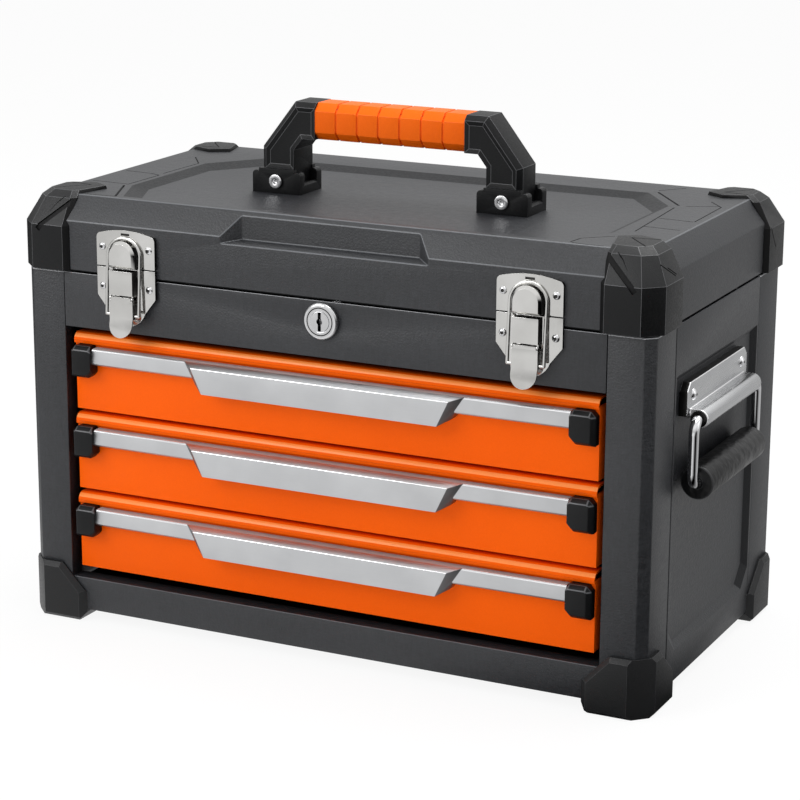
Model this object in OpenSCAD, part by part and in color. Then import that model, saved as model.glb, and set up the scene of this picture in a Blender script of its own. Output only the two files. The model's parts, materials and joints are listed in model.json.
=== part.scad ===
// Portable tool box: a steel carcass with three drawers, a hinged lid, two toggle latches,
// a cam lock, a carrying handle on the lid and a drop handle on each side.
// Origin: centre of the overall width and depth, on the surface that the feet stand on.
// +X is the right-hand side seen from the front, +Y the back, +Z up.

/* [Body] */
// Width of the body between its outer faces
body_w = 508; // [470:1:560]
// Depth of the body between its front and back faces
body_d = 277; // [255:1:320]
// Height of the underside of the body above the surface it stands on
foot_drop = 9; // [7:1:16]
// Height of the rail under the drawers
rail_h = 26; // [24:1:36]
// Height of the fixed panel above the drawers
header_h = 42; // [40:1:60]
// Thickness of the sheet that panels are pressed from
sheet_t = 2; // [1.6:0.1:2.6]
// Depth of the panels from their outer face to their inner face
panel_t = 6.5; // [6:0.1:8]
// Gap left between neighbouring panels and posts
panel_gap = 0.4; // [0.2:0.1:0.8]

/* [Corner posts] */
// Width of a corner post on the front and on the back
post_w = 34; // [30:1:40]
// Width of a front post on the side
front_post_side_w = 44; // [40:1:52]
// Width of a rear post on the side
rear_post_side_w = 50; // [44:1:56]
// Wall of a corner post
post_t = 3; // [2.5:0.1:4]
// Leg of the chamfer down each outer corner
post_chamfer = 7; // [5:0.5:9]
// Depth of the jamb that closes the gap beside the drawers
jamb_d = 14; // [8:1:16]

/* [Pressed fields] */
// Depth of the pressed field in the side and back panels
field_depth = 4; // [3:0.1:4.5]
// Width of the sloped wall round a pressed field
field_slope = 5; // [4:0.5:7]
// Border between a panel's upright edge and its pressed field
field_border = 3; // [2:0.5:8]
// Height of the flush band above a side field
band_h = 37; // [30:1:44]
// Height of the flush rail below a side field
side_rail_h = 24; // [18:1:32]
// Leg of the cut corners of a pressed field
field_corner = 14; // [8:1:20]

/* [Feet] */
// Thickness of the foot in front of the body's faces
foot_t = 5; // [4:0.5:7]
// Reach of a foot along the front and the back
foot_len = 47; // [42:1:54]
// Reach of a foot along the side
foot_side_len = 52; // [46:1:60]
// Height of a foot
foot_h = 45; // [40:1:56]
// Length of the foot's level top edge, from the body's corner
foot_top_len = 26; // [22:1:32]
// Height of the short upright edge at the foot's free end
foot_end_h = 23; // [20:1:26]
// Leg of the bevel round the foot's upper edges
foot_bevel = 3.5; // [2:0.5:4]

/* [Drawers] */
// Height of a drawer front
drawer_h = 60; // [56:1:80]
// Gap between drawer fronts
drawer_gap = 3.5; // [3:0.5:5]
// Gap between the rail and the lowest drawer front
low_gap = 8; // [5:0.5:10]
// Gap between the highest drawer front and the panel above it
high_gap = 5; // [4:0.5:7]
// Gap between a drawer front and the posts beside it
side_gap = 6; // [5:0.5:8]
// Depth of the drawer fronts behind the front face of the posts
front_recess = 5; // [3:0.5:7]
// Depth of a drawer front from its face to its back
front_t = 14; // [12:0.5:16]
// Wall of a drawer front
front_wall = 1.6; // [1.2:0.1:2]
// Radius of the roll along the top of a drawer front
roll_r = 6; // [5:0.5:6.5]
// Forward reach of the roll past the face of the drawer front
roll_out = 2.5; // [1:0.5:3]
// Wall of a drawer tray
tray_wall = 1.2; // [1:0.1:1.6]
// Height of a drawer tray
tray_h = 45; // [36:1:46]
// Height of the tray's underside above the lower edge of its front
tray_lift = 4; // [3:0.5:6]
// Reach of the runner flange past the tray's side
runner_w = 6; // [5:0.5:6.5]
// Free space behind a closed drawer
drawer_back_gap = 12; // [10:1:20]
// Clearance between a runner flange and the slide that carries it
runner_gap = 0.3; // [0.2:0.05:0.5]

/* [Drawer pulls] */
// Distance from the top of a drawer front to the top of its pull
pull_drop = 10; // [9:0.5:13]
// Height of the narrow ends of a pull
pull_h = 12.5; // [10:0.5:14]
// Reach of the narrow ends in front of the drawer's face
pull_out = 8; // [6:0.5:9]
// Half length of the deep middle lip of a pull, along its top
lip_half = 105; // [90:1:130]
// Slant of each end of the middle lip
lip_slant = 9; // [6:0.5:12]
// Length of the ramp from a pull's narrow end out to its middle lip
lip_ramp = 9; // [5:0.5:12]
// Fall of the lip's top face out to its front edge
lip_drop = 3; // [2:0.5:5]
// Height of the middle lip
lip_h = 22; // [20:0.5:24]
// Reach of the lower edge of the middle lip in front of the drawer's face
lip_out = 15; // [13:0.5:16]
// Thickness of the pull's metal
pull_t = 2; // [1.6:0.1:2.4]
// Length of an end cap
cap_len = 19; // [16:0.5:24]
// Height of an end cap
cap_h = 25; // [22:0.5:28]
// Reach of an end cap in front of the drawer's face
cap_out = 11; // [10:0.5:13]
// Leg of the bevels on an end cap
cap_bevel = 4; // [3:0.5:5]

/* [Lid] */
// Height of the lid's upright face
lid_face_h = 38; // [36:1:50]
// Rise of the bevel round the top of the lid
bevel_rise = 18; // [14:1:22]
// Run of the bevel along the front of the lid
bevel_front = 15; // [12:1:20]
// Run of the bevel along the back of the lid
bevel_back = 18; // [12:1:24]
// Run of the bevel along the sides of the lid
bevel_side = 12.5; // [10:0.5:16]
// Wall of the lid
lid_wall = 2.2; // [1.8:0.1:3]
// Gap between the lid and the body
lid_gap = 1.2; // [0.8:0.1:1.6]
// Depth of the sunk panel in the top of the lid
sunk_depth = 4; // [2:0.5:4]
// Width of the sloped wall round the sunk panel
sunk_slope = 9; // [6:1:16]
// Half length of the thumb ledge in the front bevel
ledge_half = 84; // [70:1:100]
// Slant of each end of the thumb ledge
ledge_slant = 12; // [8:1:16]
// Depth of the thumb ledge behind the front face
ledge_depth = 12; // [9:0.5:13]
// Distance of the ledge's front edge below the top of the lid's upright face
ledge_drop = 5; // [3:0.5:7]

/* [Lid corners] */
// Thickness of a corner guard over the lid
guard_t = 4; // [3:0.5:5]
// Reach of a corner guard along the front and the back
guard_len = 40; // [36:1:46]
// Reach of a corner guard along the side
guard_side_len = 46; // [40:1:54]
// Leg of the chamfer down the outer corner of a guard
guard_chamfer = 13; // [11:0.5:15]
// Height of the upright part of a guard
guard_face_h = 34; // [32:1:35]
// Thickness of a guard over the top of the lid
guard_top_t = 2.5; // [2:0.5:4]
// How far a lid guard's pointed inner tip reaches past its front end
guard_tip = 7; // [3:0.5:9]

/* [Carrying handle] */
// Distance of the handle's middle behind the front face of the body
handle_y = 122; // [100:1:135]
// Half distance between the outer faces of the handle's arms
arm_half = 108; // [100:1:120]
// Width of an arm, seen from the front
arm_w = 28; // [24:1:32]
// Depth of an arm, from front to back
arm_d = 31; // [26:1:36]
// Height of the handle above the lid
handle_h = 71; // [66:1:80]
// Height of the knee where an arm turns inwards
knee_h = 35; // [32:1:40]
// Half length of the arms' level tops, from the middle to the outer corner
arm_top_half = 80; // [76:1:86]
// Half length of the grip
grip_half = 62; // [55:1:66]
// Height of the grip
grip_h = 28; // [24:1:32]
// Depth of the grip
grip_d = 30; // [26:1:34]
// Thickness of the grip's sleeve
sleeve_t = 4; // [3:0.5:6]
// Number of sections in the grip
grip_sections = 7; // [5:1:9]
// Depth of the grooves between the grip's sections
groove_depth = 1; // [0.5:0.1:1.4]
// Wall of a handle bracket
bracket_t = 4.5; // [4:0.5:6]
// Depth of the step in the arms that the bracket's front and back walls sit in
arm_step = 2.5; // [1.5:0.5:3]
// Width of the rounded ears at the corners of a handle bracket
ear_w = 6.5; // [5:0.5:8]
// Height of a handle bracket's front and back walls
bracket_h = 19; // [17:1:24]
// Height of the low side walls between the ears
bracket_side_h = 8; // [6:1:12]
// Diameter of the handle bolts
bolt_d = 6; // [5:0.5:8]
// Diameter of the handle bolt heads
bolt_head_d = 11; // [10:0.5:13]
// Height of the handle bolt heads
bolt_head_h = 2.5; // [2:0.5:3.5]
// Width of the socket in the handle bolt heads
bolt_socket = 4.4; // [4:0.1:5]

/* [Latches] */
// Distance of each latch from the side of the body
latch_inset = 91; // [79:1:110]
// Width of the latch plates
latch_w = 50; // [46:1:54]
// Depth of the latch plates from their face to the body
latch_t = 3; // [2.4:0.1:3.4]
// Height of the gap between the two latch plates above the lid's seam
split_lift = 8.5; // [6:0.5:10]
// Height of the upper latch plate
keeper_h = 28.5; // [27:0.5:32]
// Height of the keeper's arched hook above the split
hook_h = 21; // [20:0.5:24]
// Width of the keeper's hook
hook_w = 23; // [22:0.5:24]
// Width of the latch's blocks
block_w = 20; // [19:0.5:20]
// Reach of the latch's blocks in front of the body
block_out = 11.1; // [10.5:0.1:12]
// Distance of the lever's pivot below the split
pivot_drop = 21.5; // [20:0.5:23]
// Distance from the lever's pivot to the wire's pivot
wire_arm = 13; // [12:0.5:14]
// Height of the lever's block below its pivot
lever_h = 15.5; // [15:0.5:17]
// Length of the tongue below the lever's block
tongue_len = 14; // [12:0.5:16]
// Reach of the tongue's tip in front of the body
tongue_out = 14.6; // [13.5:0.1:15.5]
// Diameter of the latch wire
wire_d = 2.6; // [2.2:0.1:2.8]
// Thickness of the latch's folded metal
latch_metal = 1.2; // [1:0.1:1.3]

/* [Lock] */
// Distance of the lock's centre below the top edge of the body
lock_drop = 14.5; // [14:0.5:20]
// Diameter of the lock's bezel
bezel_d = 27.5; // [25:0.5:28]
// Reach of the bezel in front of the body
bezel_out = 4; // [3:0.5:5]
// Diameter of the lock's barrel
barrel_d = 19; // [17:0.5:20]
// Length of the barrel behind the face of the body
barrel_len = 21; // [19:0.5:24]
// Diameter of the lock's plug
plug_d = 15; // [13:0.5:15.5]
// Length of the lock's cam from its axis
cam_len = 26; // [24:1:28]

/* [Side handles] */
// Distance of the side handles' middle behind the front face of the body
side_handle_y = 129; // [120:1:140]
// Distance of the side plate's top below the flush band
plate_drop = 9; // [5:1:30]
// Length of the side plate
side_plate_len = 130; // [120:1:140]
// Height of the flat part of the side plate above the barrel's axis
side_plate_h = 26; // [24:1:30]
// Thickness of the side plate
side_plate_t = 2.5; // [2:0.1:3]
// Outer diameter of the barrel rolled along the plate's lower edge
roll_d = 14; // [13:0.5:16]
// Length of the rolled barrel
roll_len = 118; // [104:1:118]
// Distance of the barrel's axis in front of the body's side
side_pivot_out = 9.5; // [9:0.5:12]
// Diameter of the bail's rod
rod_d = 7.5; // [6.5:0.5:8.5]
// Distance between the centre lines of the bail's legs
bail_w = 138; // [138:1:150]
// Distance from the bail's pivot to the middle of its grip
bail_drop = 47; // [44:1:60]
// Diameter of the side grips
side_grip_d = 25; // [22:0.5:26]

/* [Hinges] */
// Distance of each hinge from the middle of the body
hinge_x = 150; // [110:1:160]
// Length of each hinge
hinge_len = 76; // [60:1:90]
// Height of one hinge leaf
leaf_h = 22; // [18:1:26]
// Thickness of a hinge leaf
leaf_t = 1.6; // [1.2:0.1:2]
// Radius of the hinge knuckles
knuckle_r = 3.4; // [3:0.1:4]
// Diameter of the hinge pins
hinge_pin_d = 3.2; // [2.6:0.1:3.6]

/* [Hidden] */
$fn = 48;
slack = 0.05;          // radial running clearance round a pin
moving_gap = 0.4;      // free space between pieces that pass each other
seat_gap = 0.1;        // free space between fixed pieces that lap
over = 1;              // how far a cutting solid runs past what it cuts
root2 = sqrt(2);

drawer_pitch = drawer_h + drawer_gap;
base_z = foot_drop;
opening_z = base_z + rail_h;
opening_top = opening_z + low_gap + 3 * drawer_h + 2 * drawer_gap + high_gap;
seam_z = opening_top + header_h;
lid_z = seam_z + lid_gap;
lid_face_top = lid_z + lid_face_h;
lid_top = lid_face_top + bevel_rise;

hinge_out = knuckle_r + 0.5;
hinge_z = seam_z + lid_gap / 2;
front_reach = tongue_out;
back_reach = hinge_out + knuckle_r;
front_y = (front_reach - back_reach - body_d) / 2;
back_y = front_y + body_d;
half_w = body_w / 2;
lid_nose = guard_chamfer - 2;
opening_half = half_w - post_w;
inner_half = half_w - panel_t;
side_panel_len = body_d - front_post_side_w - rear_post_side_w;

drawer_half = opening_half - side_gap;
drawer_face_y = front_y + front_recess;
tray_half = drawer_half - 1;
tray_y = drawer_face_y + front_t;
tray_d = back_y - drawer_back_gap - tray_y;
flange_lift = tray_lift + tray_h - tray_wall - runner_gap;

latch_x = half_w - latch_inset;
split_z = seam_z + split_lift;
pivot_z = split_z - pivot_drop;
knuckle = 1.2;         // radius of the lever's rolled knuckle
latch_pin_r = 0.6;
pivot_out = block_out - knuckle;
wire_z = pivot_z - wire_arm;
wire_r = wire_d / 2;
wire_out = block_out - latch_metal - wire_r - 2 * slack;
hook_r = hook_w / 2;
hook_neck = 5.2;       // depth of the hook's neck in front of its plate
hook_lip = 0.4;        // rise of the hook's lip above its neck
wire_play = 0.6;       // rise of the closed wire above the neck
wire_half = hook_r + 1 + wire_r;
wire_top_out = latch_t + 0.3 + wire_r;
wire_top_z = split_z + hook_h + wire_play + wire_r;

lock_z = seam_z - lock_drop;
side_pivot_z = seam_z - band_h - plate_drop - side_plate_h;
side_pivot_y = front_y + side_handle_y;
bail_bend = 9;         // radius of the bail's bends, on the rod's centre line
handle_mid_y = front_y + handle_y;
handle_top = lid_top - sunk_depth + handle_h;
handle_foot_z = lid_top - sunk_depth;
grip_mid_z = handle_top - grip_h / 2;
hinge_y = back_y + hinge_out;

// ---- shared helpers ----

// Points along an arc, for rounded outlines
function arc(cx, cy, r, from, to, steps = 8) =
    [for (i = [0 : steps]) [cx + r * cos(from + (to - from) * i / steps), cy + r * sin(from + (to - from) * i / steps)]];

// A profile drawn in Y and Z, drawn out along X and centred on x = 0
module along_x(length) {
    rotate([90, 0, 90])
        linear_extrude(height = length, center = true)
            children();
}

// An outline drawn in X and Z, standing out from the front face between two distances
module out_from_front(from, to) {
    translate([0, front_y - from, 0])
        rotate([90, 0, 0])
            linear_extrude(height = to - from)
                children();
}

// Local axes at one upright corner of the body: +X and +Y both run inwards
module at_corner(right, front) {
    translate([right ? half_w : -half_w, front ? front_y : back_y, 0])
        mirror([right ? 1 : 0, 0, 0])
            mirror([0, front ? 0 : 1, 0])
                children();
}

module on_left_and_right() {
    children();
    mirror([1, 0, 0])
        children();
}

// A long square bar on its edge, which cuts a bevel of the given leg along an edge on +X
module bevel_bar(length, leg) {
    rotate([45, 0, 0])
        translate([-over, -leg * root2 / 2, -leg * root2 / 2])
            cube([length + 2 * over, leg * root2, leg * root2]);
}

// ---- carcass ----

// Corner post: an angle with a chamfered nose
module post(flange, side) {
    nose = post_chamfer;
    inner = post_chamfer + post_t * (root2 - 1);
    translate([0, 0, base_z])
        linear_extrude(height = seam_z - base_z)
            polygon([
                [nose, 0], [flange, 0], [flange, post_t], [inner, post_t],
                [post_t, inner], [post_t, side], [0, side], [0, nose]
            ]);
}

// Strip that turns in beside the drawers, closing the gap to the post
module jamb() {
    translate([post_w - post_t, post_t, base_z + sheet_t + seat_gap])
        cube([post_t, jamb_d - post_t, opening_top - base_z - sheet_t - seat_gap]);
}

module front_post(right) {
    color([0.24, 0.25, 0.27])
        at_corner(right, true) {
            post(post_w, front_post_side_w);
            jamb();
        }
}

module rear_post(right) {
    color([0.24, 0.25, 0.27])
        at_corner(right, false)
            post(post_w, rear_post_side_w);
}

// Outline of a pressed field, narrowed by a margin, with its lower corners cut
module field_outline(width, margin) {
    half = width / 2 - field_border - margin;
    low = base_z + side_rail_h + margin;
    high = seam_z - band_h - margin;
    polygon([
        [-half + field_corner, low], [half - field_corner, low], [half, low + field_corner],
        [half, high], [-half, high], [-half, low + field_corner]
    ]);
}

// Pressed panel with its outer face on y = 0, centred on x = 0, +Y inwards
module pressed_panel(width) {
    skin = 0.02;
    difference() {
        translate([-width / 2, 0, base_z])
            cube([width, panel_t, seam_z - base_z]);
        hull() {
            translate([0, skin - over, 0])
                rotate([90, 0, 0])
                    linear_extrude(height = skin)
                        field_outline(width, -over * field_slope / field_depth);
            translate([0, field_depth, 0])
                rotate([90, 0, 0])
                    linear_extrude(height = skin)
                        field_outline(width, field_slope);
        }
        translate([-width / 2 + sheet_t, sheet_t, seam_z - band_h + field_slope + sheet_t])
            cube([width - 2 * sheet_t, panel_t, band_h]);
        translate([-width / 2 + sheet_t, sheet_t, base_z - over])
            cube([width - 2 * sheet_t, panel_t, side_rail_h - sheet_t + over]);
        translate([-width, post_t, base_z - over])
            cube([2 * width, panel_t, sheet_t + seat_gap + over]);
    }
}

module side_panel(right) {
    middle = (front_y + front_post_side_w + back_y - rear_post_side_w) / 2;
    color([0.24, 0.25, 0.27])
        translate([right ? half_w : -half_w, middle, 0])
            rotate([0, 0, right ? 90 : -90])
                pressed_panel(side_panel_len - 2 * panel_gap);
}

module back_panel() {
    color([0.24, 0.25, 0.27])
        translate([0, back_y, 0])
            rotate([0, 0, 180])
                pressed_panel(2 * (opening_half - panel_gap));
}

// Floor with the front rail folded up from it
module base_pan() {
    half = half_w - post_t - seat_gap;
    rear = body_d - post_t - seat_gap;
    front = post_t + seat_gap;
    cut = 2 * post_chamfer;
    rail_half = opening_half - panel_gap;
    color([0.22, 0.23, 0.25]) {
        translate([0, front_y, base_z])
            linear_extrude(height = sheet_t)
                polygon([
                    [-rail_half, 0], [rail_half, 0], [rail_half, front], [half - cut, front],
                    [half, front + cut], [half, rear - cut], [half - cut, rear], [cut - half, rear],
                    [-half, rear - cut], [-half, front + cut], [cut - half, front], [-rail_half, front]
                ]);
        translate([-rail_half, front_y, base_z])
            cube([2 * rail_half, sheet_t, rail_h]);
        translate([-rail_half, front_y, opening_z - sheet_t])
            cube([2 * rail_half, jamb_d - seat_gap, sheet_t]);
    }
}

// Panel above the drawers, with the hole for the lock and a lip folded in below
module header_panel() {
    half = opening_half - panel_gap;
    color([0.24, 0.25, 0.27])
        difference() {
            union() {
                translate([-half, front_y, opening_top])
                    cube([2 * half, sheet_t, header_h]);
                translate([-half, front_y, opening_top])
                    cube([2 * half, jamb_d, sheet_t]);
            }
            translate([0, front_y - over, lock_z])
                rotate([-90, 0, 0])
                    cylinder(r = barrel_d / 2 + slack, h = sheet_t + 2 * over);
        }
}

// Floor of the top compartment, an open pan resting on the header's lip
module tray_floor() {
    half = inner_half - seat_gap;
    front = post_t + seat_gap;
    rear = body_d - panel_t - seat_gap;
    cut = 2 * post_chamfer;
    rim_h = 10;
    color([0.30, 0.31, 0.33])
        translate([0, front_y, opening_top + sheet_t + seat_gap])
            difference() {
                linear_extrude(height = rim_h)
                    tray_outline(half, front, rear, cut);
                translate([0, 0, tray_wall])
                    linear_extrude(height = rim_h)
                        tray_outline(half - tray_wall, front + tray_wall, rear - tray_wall, cut - tray_wall / 2);
            }
}

module tray_outline(half, front, rear, cut) {
    polygon([
        [cut - half, front], [half - cut, front], [half, front + cut], [half, rear - cut],
        [half - cut, rear], [cut - half, rear], [-half, rear - cut], [-half, front + cut]
    ]);
}

// Fixed slide on the right: a ledge from the side panel with a lip over the drawer's flange
module slide(drawer) {
    z = drawer_low(drawer) + flange_lift;
    t = tray_wall;
    inside = tray_half + moving_gap;
    web = tray_half + runner_w + moving_gap;
    wall = inner_half - seat_gap;
    top = z + 2 * runner_gap + 2 * t + 2;
    length = tray_d - jamb_d;
    translate([0, tray_y + jamb_d / 2 + length / 2, 0])
        rotate([90, 0, 0])
            linear_extrude(height = length, center = true)
                polygon([
                    [inside, z - t], [wall - t, z - t], [wall - t, z - 14], [wall, z - 14], [wall, z],
                    [web + t, z], [web + t, top], [inside + 1.5, top], [inside + 1.5, top - t],
                    [web, top - t], [web, z], [inside, z]
                ]);
}

module drawer_slides() {
    color([0.55, 0.56, 0.58])
        for (drawer = [1 : 3])
            on_left_and_right()
                slide(drawer);
}

// ---- feet ----

// Corner foot: a moulded cup with bevelled walls, which the body's corner sits in
module foot(right, front) {
    color([0.12, 0.12, 0.13])
        at_corner(right, front)
            difference() {
                intersection() {
                    linear_extrude(height = foot_h)
                        foot_plan();
                    foot_profile(foot_len);
                    mirror([1, -1, 0])
                        foot_profile(foot_side_len);
                }
                translate([0, 0, foot_drop])
                    linear_extrude(height = foot_h)
                        polygon([
                            [post_chamfer, 0], [2 * foot_side_len, 0], [2 * foot_side_len, 2 * foot_side_len],
                            [0, 2 * foot_side_len], [0, post_chamfer]
                        ]);
                foot_slant_bevel(foot_len);
                mirror([1, -1, 0])
                    foot_slant_bevel(foot_side_len);
            }
}

// Outline of a foot seen from above, chamfered at the corner of the body and at its free ends
module foot_plan() {
    t = foot_t;
    nose = post_chamfer + t * (2 - root2) + 1;
    polygon([
        [nose, -t], [foot_len - t, -t], [foot_len, 0], [foot_len, 14], [14, foot_side_len],
        [0, foot_side_len], [-t, foot_side_len - t], [-t, nose]
    ]);
}

// Outline of a foot seen from one side, drawn through it along +Y
module foot_profile(reach) {
    t = foot_t;
    reach_y = foot_side_len + foot_len;
    low = 3;
    translate([0, reach_y, 0])
        rotate([90, 0, 0])
            linear_extrude(height = 2 * reach_y)
                polygon([
                    [-t + low, 0], [reach - 2 * low, 0], [reach, foot_drop - 2], [reach, foot_end_h],
                    [foot_top_len, foot_h], [-t + foot_bevel - 1, foot_h], [-t, foot_h - foot_bevel], [-t, low]
                ]);
}

// Bevel along the slanted edge of a foot's front wall
module foot_slant_bevel(reach) {
    run = reach - foot_top_len;
    rise = foot_h - foot_end_h;
    translate([foot_top_len, -foot_t, foot_h])
        rotate([0, atan2(rise, run), 0])
            bevel_bar(norm([run, rise]), foot_bevel);
}

// ---- drawers ----

function drawer_low(drawer) = opening_z + low_gap + (3 - drawer) * drawer_pitch;

// Side view of a drawer front: flat face, rolled top, open at the back
module front_profile(inset, back) {
    roll = roll_r - inset;
    centre_y = roll_r - roll_out;
    centre_z = drawer_h - roll_r;
    polygon(concat(
        [[back, inset], [inset, inset], [inset, centre_z - roll_r * 0.38]],
        arc(centre_y, centre_z, roll, 200, 90, 10),
        [[back, drawer_h - inset]]
    ));
}

module drawer_front(drawer) {
    cut = 7;
    color([0.96, 0.37, 0.05])
        translate([0, drawer_face_y, drawer_low(drawer)])
            difference() {
                along_x(2 * drawer_half)
                    front_profile(0, front_t);
                along_x(2 * (drawer_half - front_wall))
                    front_profile(front_wall, front_t + over);
                on_left_and_right()
                    translate([drawer_half, 0, drawer_h])
                        rotate([0, 45, 0])
                            cube([cut, 4 * front_t, cut * root2], center = true);
            }
}

// Open tray of thin sheet with a runner flange turned out along each side
module drawer_tray(drawer) {
    low = drawer_low(drawer) + tray_lift;
    color([0.30, 0.31, 0.33])
        translate([0, tray_y, low]) {
            difference() {
                translate([-tray_half, 0, 0])
                    cube([2 * tray_half, tray_d, tray_h]);
                translate([tray_wall - tray_half, tray_wall, tray_wall])
                    cube([2 * (tray_half - tray_wall), tray_d - 2 * tray_wall, tray_h]);
            }
            on_left_and_right()
                translate([tray_half - tray_wall, jamb_d / 2, tray_h - tray_wall])
                    cube([runner_w + tray_wall, tray_d - jamb_d, tray_wall]);
        }
}

// Aluminium pull: a slim rail with a deeper sloping finger lip in the middle
module drawer_pull(drawer) {
    top = drawer_low(drawer) + drawer_h - pull_drop;
    rail = drawer_half - cap_len;
    color([0.78, 0.79, 0.80])
        translate([0, drawer_face_y, top])
            difference() {
                union() {
                    along_x(2 * rail)
                        pull_rail_profile();
                    finger_lip(0);
                }
                finger_lip(pull_t);
            }
}

module pull_rail_profile() {
    polygon([
        [0, 0], [-pull_out + 1, 0], [-pull_out, -1], [-pull_out - 1.2, -pull_h + 1.5],
        [-pull_out, -pull_h], [0, -pull_h]
    ]);
}

// The lip with its ramped ends, or with an inset the finger space behind it
module finger_lip(inset) {
    skin = 0.02;
    top_half = lip_half - inset;
    low_half = lip_half - lip_slant - inset;
    low = -lip_h - (inset > 0 ? over : 0);
    back_h = lip_h - 5;
    hull() {
        translate([-top_half - lip_ramp, inset - pull_out, -inset - skin])
            cube([2 * (top_half + lip_ramp), pull_out - inset, skin]);
        translate([-low_half - lip_ramp, inset - pull_out, -back_h])
            cube([2 * (low_half + lip_ramp), pull_out - inset, skin]);
        translate([-top_half, inset - lip_out, -inset - lip_drop])
            cube([2 * top_half, lip_out - pull_out, skin]);
        translate([-low_half, inset - lip_out, low])
            cube([2 * low_half, inset > 0 ? lip_out - inset : pull_t, skin]);
    }
}

// Moulded end caps of a pull
module drawer_caps(drawer) {
    top = drawer_low(drawer) + drawer_h - pull_drop + 1.5;
    color([0.12, 0.12, 0.13])
        on_left_and_right()
            translate([drawer_half - cap_len, drawer_face_y, top - cap_h])
                cap();
}

module cap() {
    skin = 0.02;
    hull() {
        rotate([90, 0, 0])
            linear_extrude(height = cap_out - cap_bevel)
                cap_outline(0);
        translate([0, -cap_out + skin, 0])
            rotate([90, 0, 0])
                linear_extrude(height = skin)
                    cap_outline(cap_bevel * 0.75);
    }
}

module cap_outline(inset) {
    polygon([
        [cap_bevel, inset], [cap_len - inset, inset], [cap_len - inset, cap_h - cap_bevel],
        [cap_len - cap_bevel, cap_h - inset], [cap_bevel * 0.5, cap_h - inset],
        [0, cap_h - cap_bevel], [0, cap_bevel + inset]
    ]);
}

// ---- lid ----

// Plan of the lid, pulled in from each face, with chamfered corners
module lid_plan(side, front, back, nose) {
    x = half_w - side;
    y0 = front_y + front;
    y1 = back_y - back;
    polygon([
        [nose - x, y0], [x - nose, y0], [x, y0 + nose], [x, y1 - nose],
        [x - nose, y1], [nose - x, y1], [-x, y1 - nose], [-x, y0 + nose]
    ]);
}

// The lid's outer form, shrunk by an inset on every face but the lower one
module lid_form(inset, low) {
    skin = 0.02;
    pull = inset * 0.5;
    hull() {
        translate([0, 0, low])
            linear_extrude(height = lid_face_top - pull - low)
                lid_plan(inset, inset, inset, lid_nose);
        translate([0, 0, lid_top - inset - skin])
            linear_extrude(height = skin)
                lid_plan(bevel_side + pull, bevel_front + pull, bevel_back + pull, lid_nose);
    }
}

// Sunk panel in the top with cut corners, or the material round it when grown
module sunk_panel(grow) {
    skin = 0.02;
    hull() {
        translate([0, 0, lid_top + over])
            linear_extrude(height = skin)
                sunk_outline(grow + over * sunk_slope / sunk_depth);
        translate([0, 0, lid_top - sunk_depth - grow])
            linear_extrude(height = skin)
                sunk_outline(grow - sunk_slope);
    }
}

module sunk_outline(grow) {
    front = front_y + bevel_front + 7 - grow;
    back = back_y - bevel_back - 40 + grow;
    half = half_w - bevel_side - 44 + grow;
    polygon([
        [18 - half, front], [half - 18, front], [half, front + 42], [half, back - 44],
        [half - 32, back], [32 - half, back], [-half, back - 44], [-half, front + 42]
    ]);
}

// Thumb ledge cut into the front bevel, or the material round it when grown
module thumb_ledge(grow) {
    skin = 0.02;
    low = lid_face_top - ledge_drop - grow;
    half = ledge_half + grow;
    hull() {
        translate([-half - over, front_y - over, low])
            cube([2 * (half + over), skin, lid_top + over - low]);
        translate([ledge_slant - half, front_y + ledge_depth + grow, low + 2])
            cube([2 * (half - ledge_slant), skin, lid_top + over - low]);
    }
}

module lid_shell() {
    color([0.24, 0.25, 0.27])
        difference() {
            lid_form(0, lid_z);
            difference() {
                lid_form(lid_wall, lid_z - over);
                sunk_panel(lid_wall);
                thumb_ledge(lid_wall);
            }
            sunk_panel(0);
            thumb_ledge(0);
        }
}

// Corner guard: a faceted shell over one corner of the lid
module lid_corner(right, front) {
    skin = 0.02;
    run = front ? bevel_front : bevel_back;
    top = lid_top + guard_top_t;
    color([0.12, 0.12, 0.13])
        difference() {
            at_corner(right, front)
                hull() {
                    translate([0, 0, lid_z])
                        linear_extrude(height = guard_face_h)
                            guard_plan(guard_t, guard_t, guard_chamfer, 0);
                    translate([0, 0, top - 5])
                        linear_extrude(height = skin)
                            guard_plan(guard_t - bevel_side + 3, guard_t - run + 3, guard_chamfer * 0.7, 0);
                    translate([0, 0, top - skin])
                        linear_extrude(height = skin)
                            guard_plan(guard_t - bevel_side - 3, guard_t - run - 3, guard_chamfer * 0.6, 1.5);
                }
            lid_form(0, lid_z - over);
        }
}

// Outline of a guard from above, with each outer face moved out and its free ends pulled in
module guard_plan(side_out, front_out, nose, pull) {
    x = -side_out;
    y = -front_out;
    x1 = guard_len - pull;
    y1 = guard_side_len - pull;
    polygon([
        [x + nose, y], [x1 - 4, y], [x1, y + 3.5], [x1 + guard_tip, y1 - 1], [x1 + guard_tip - 14, y1 + 8],
        [x + 3.5, y1 + 1], [x, y1 - 3], [x, y + nose]
    ]);
}

// ---- carrying handle ----

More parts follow.
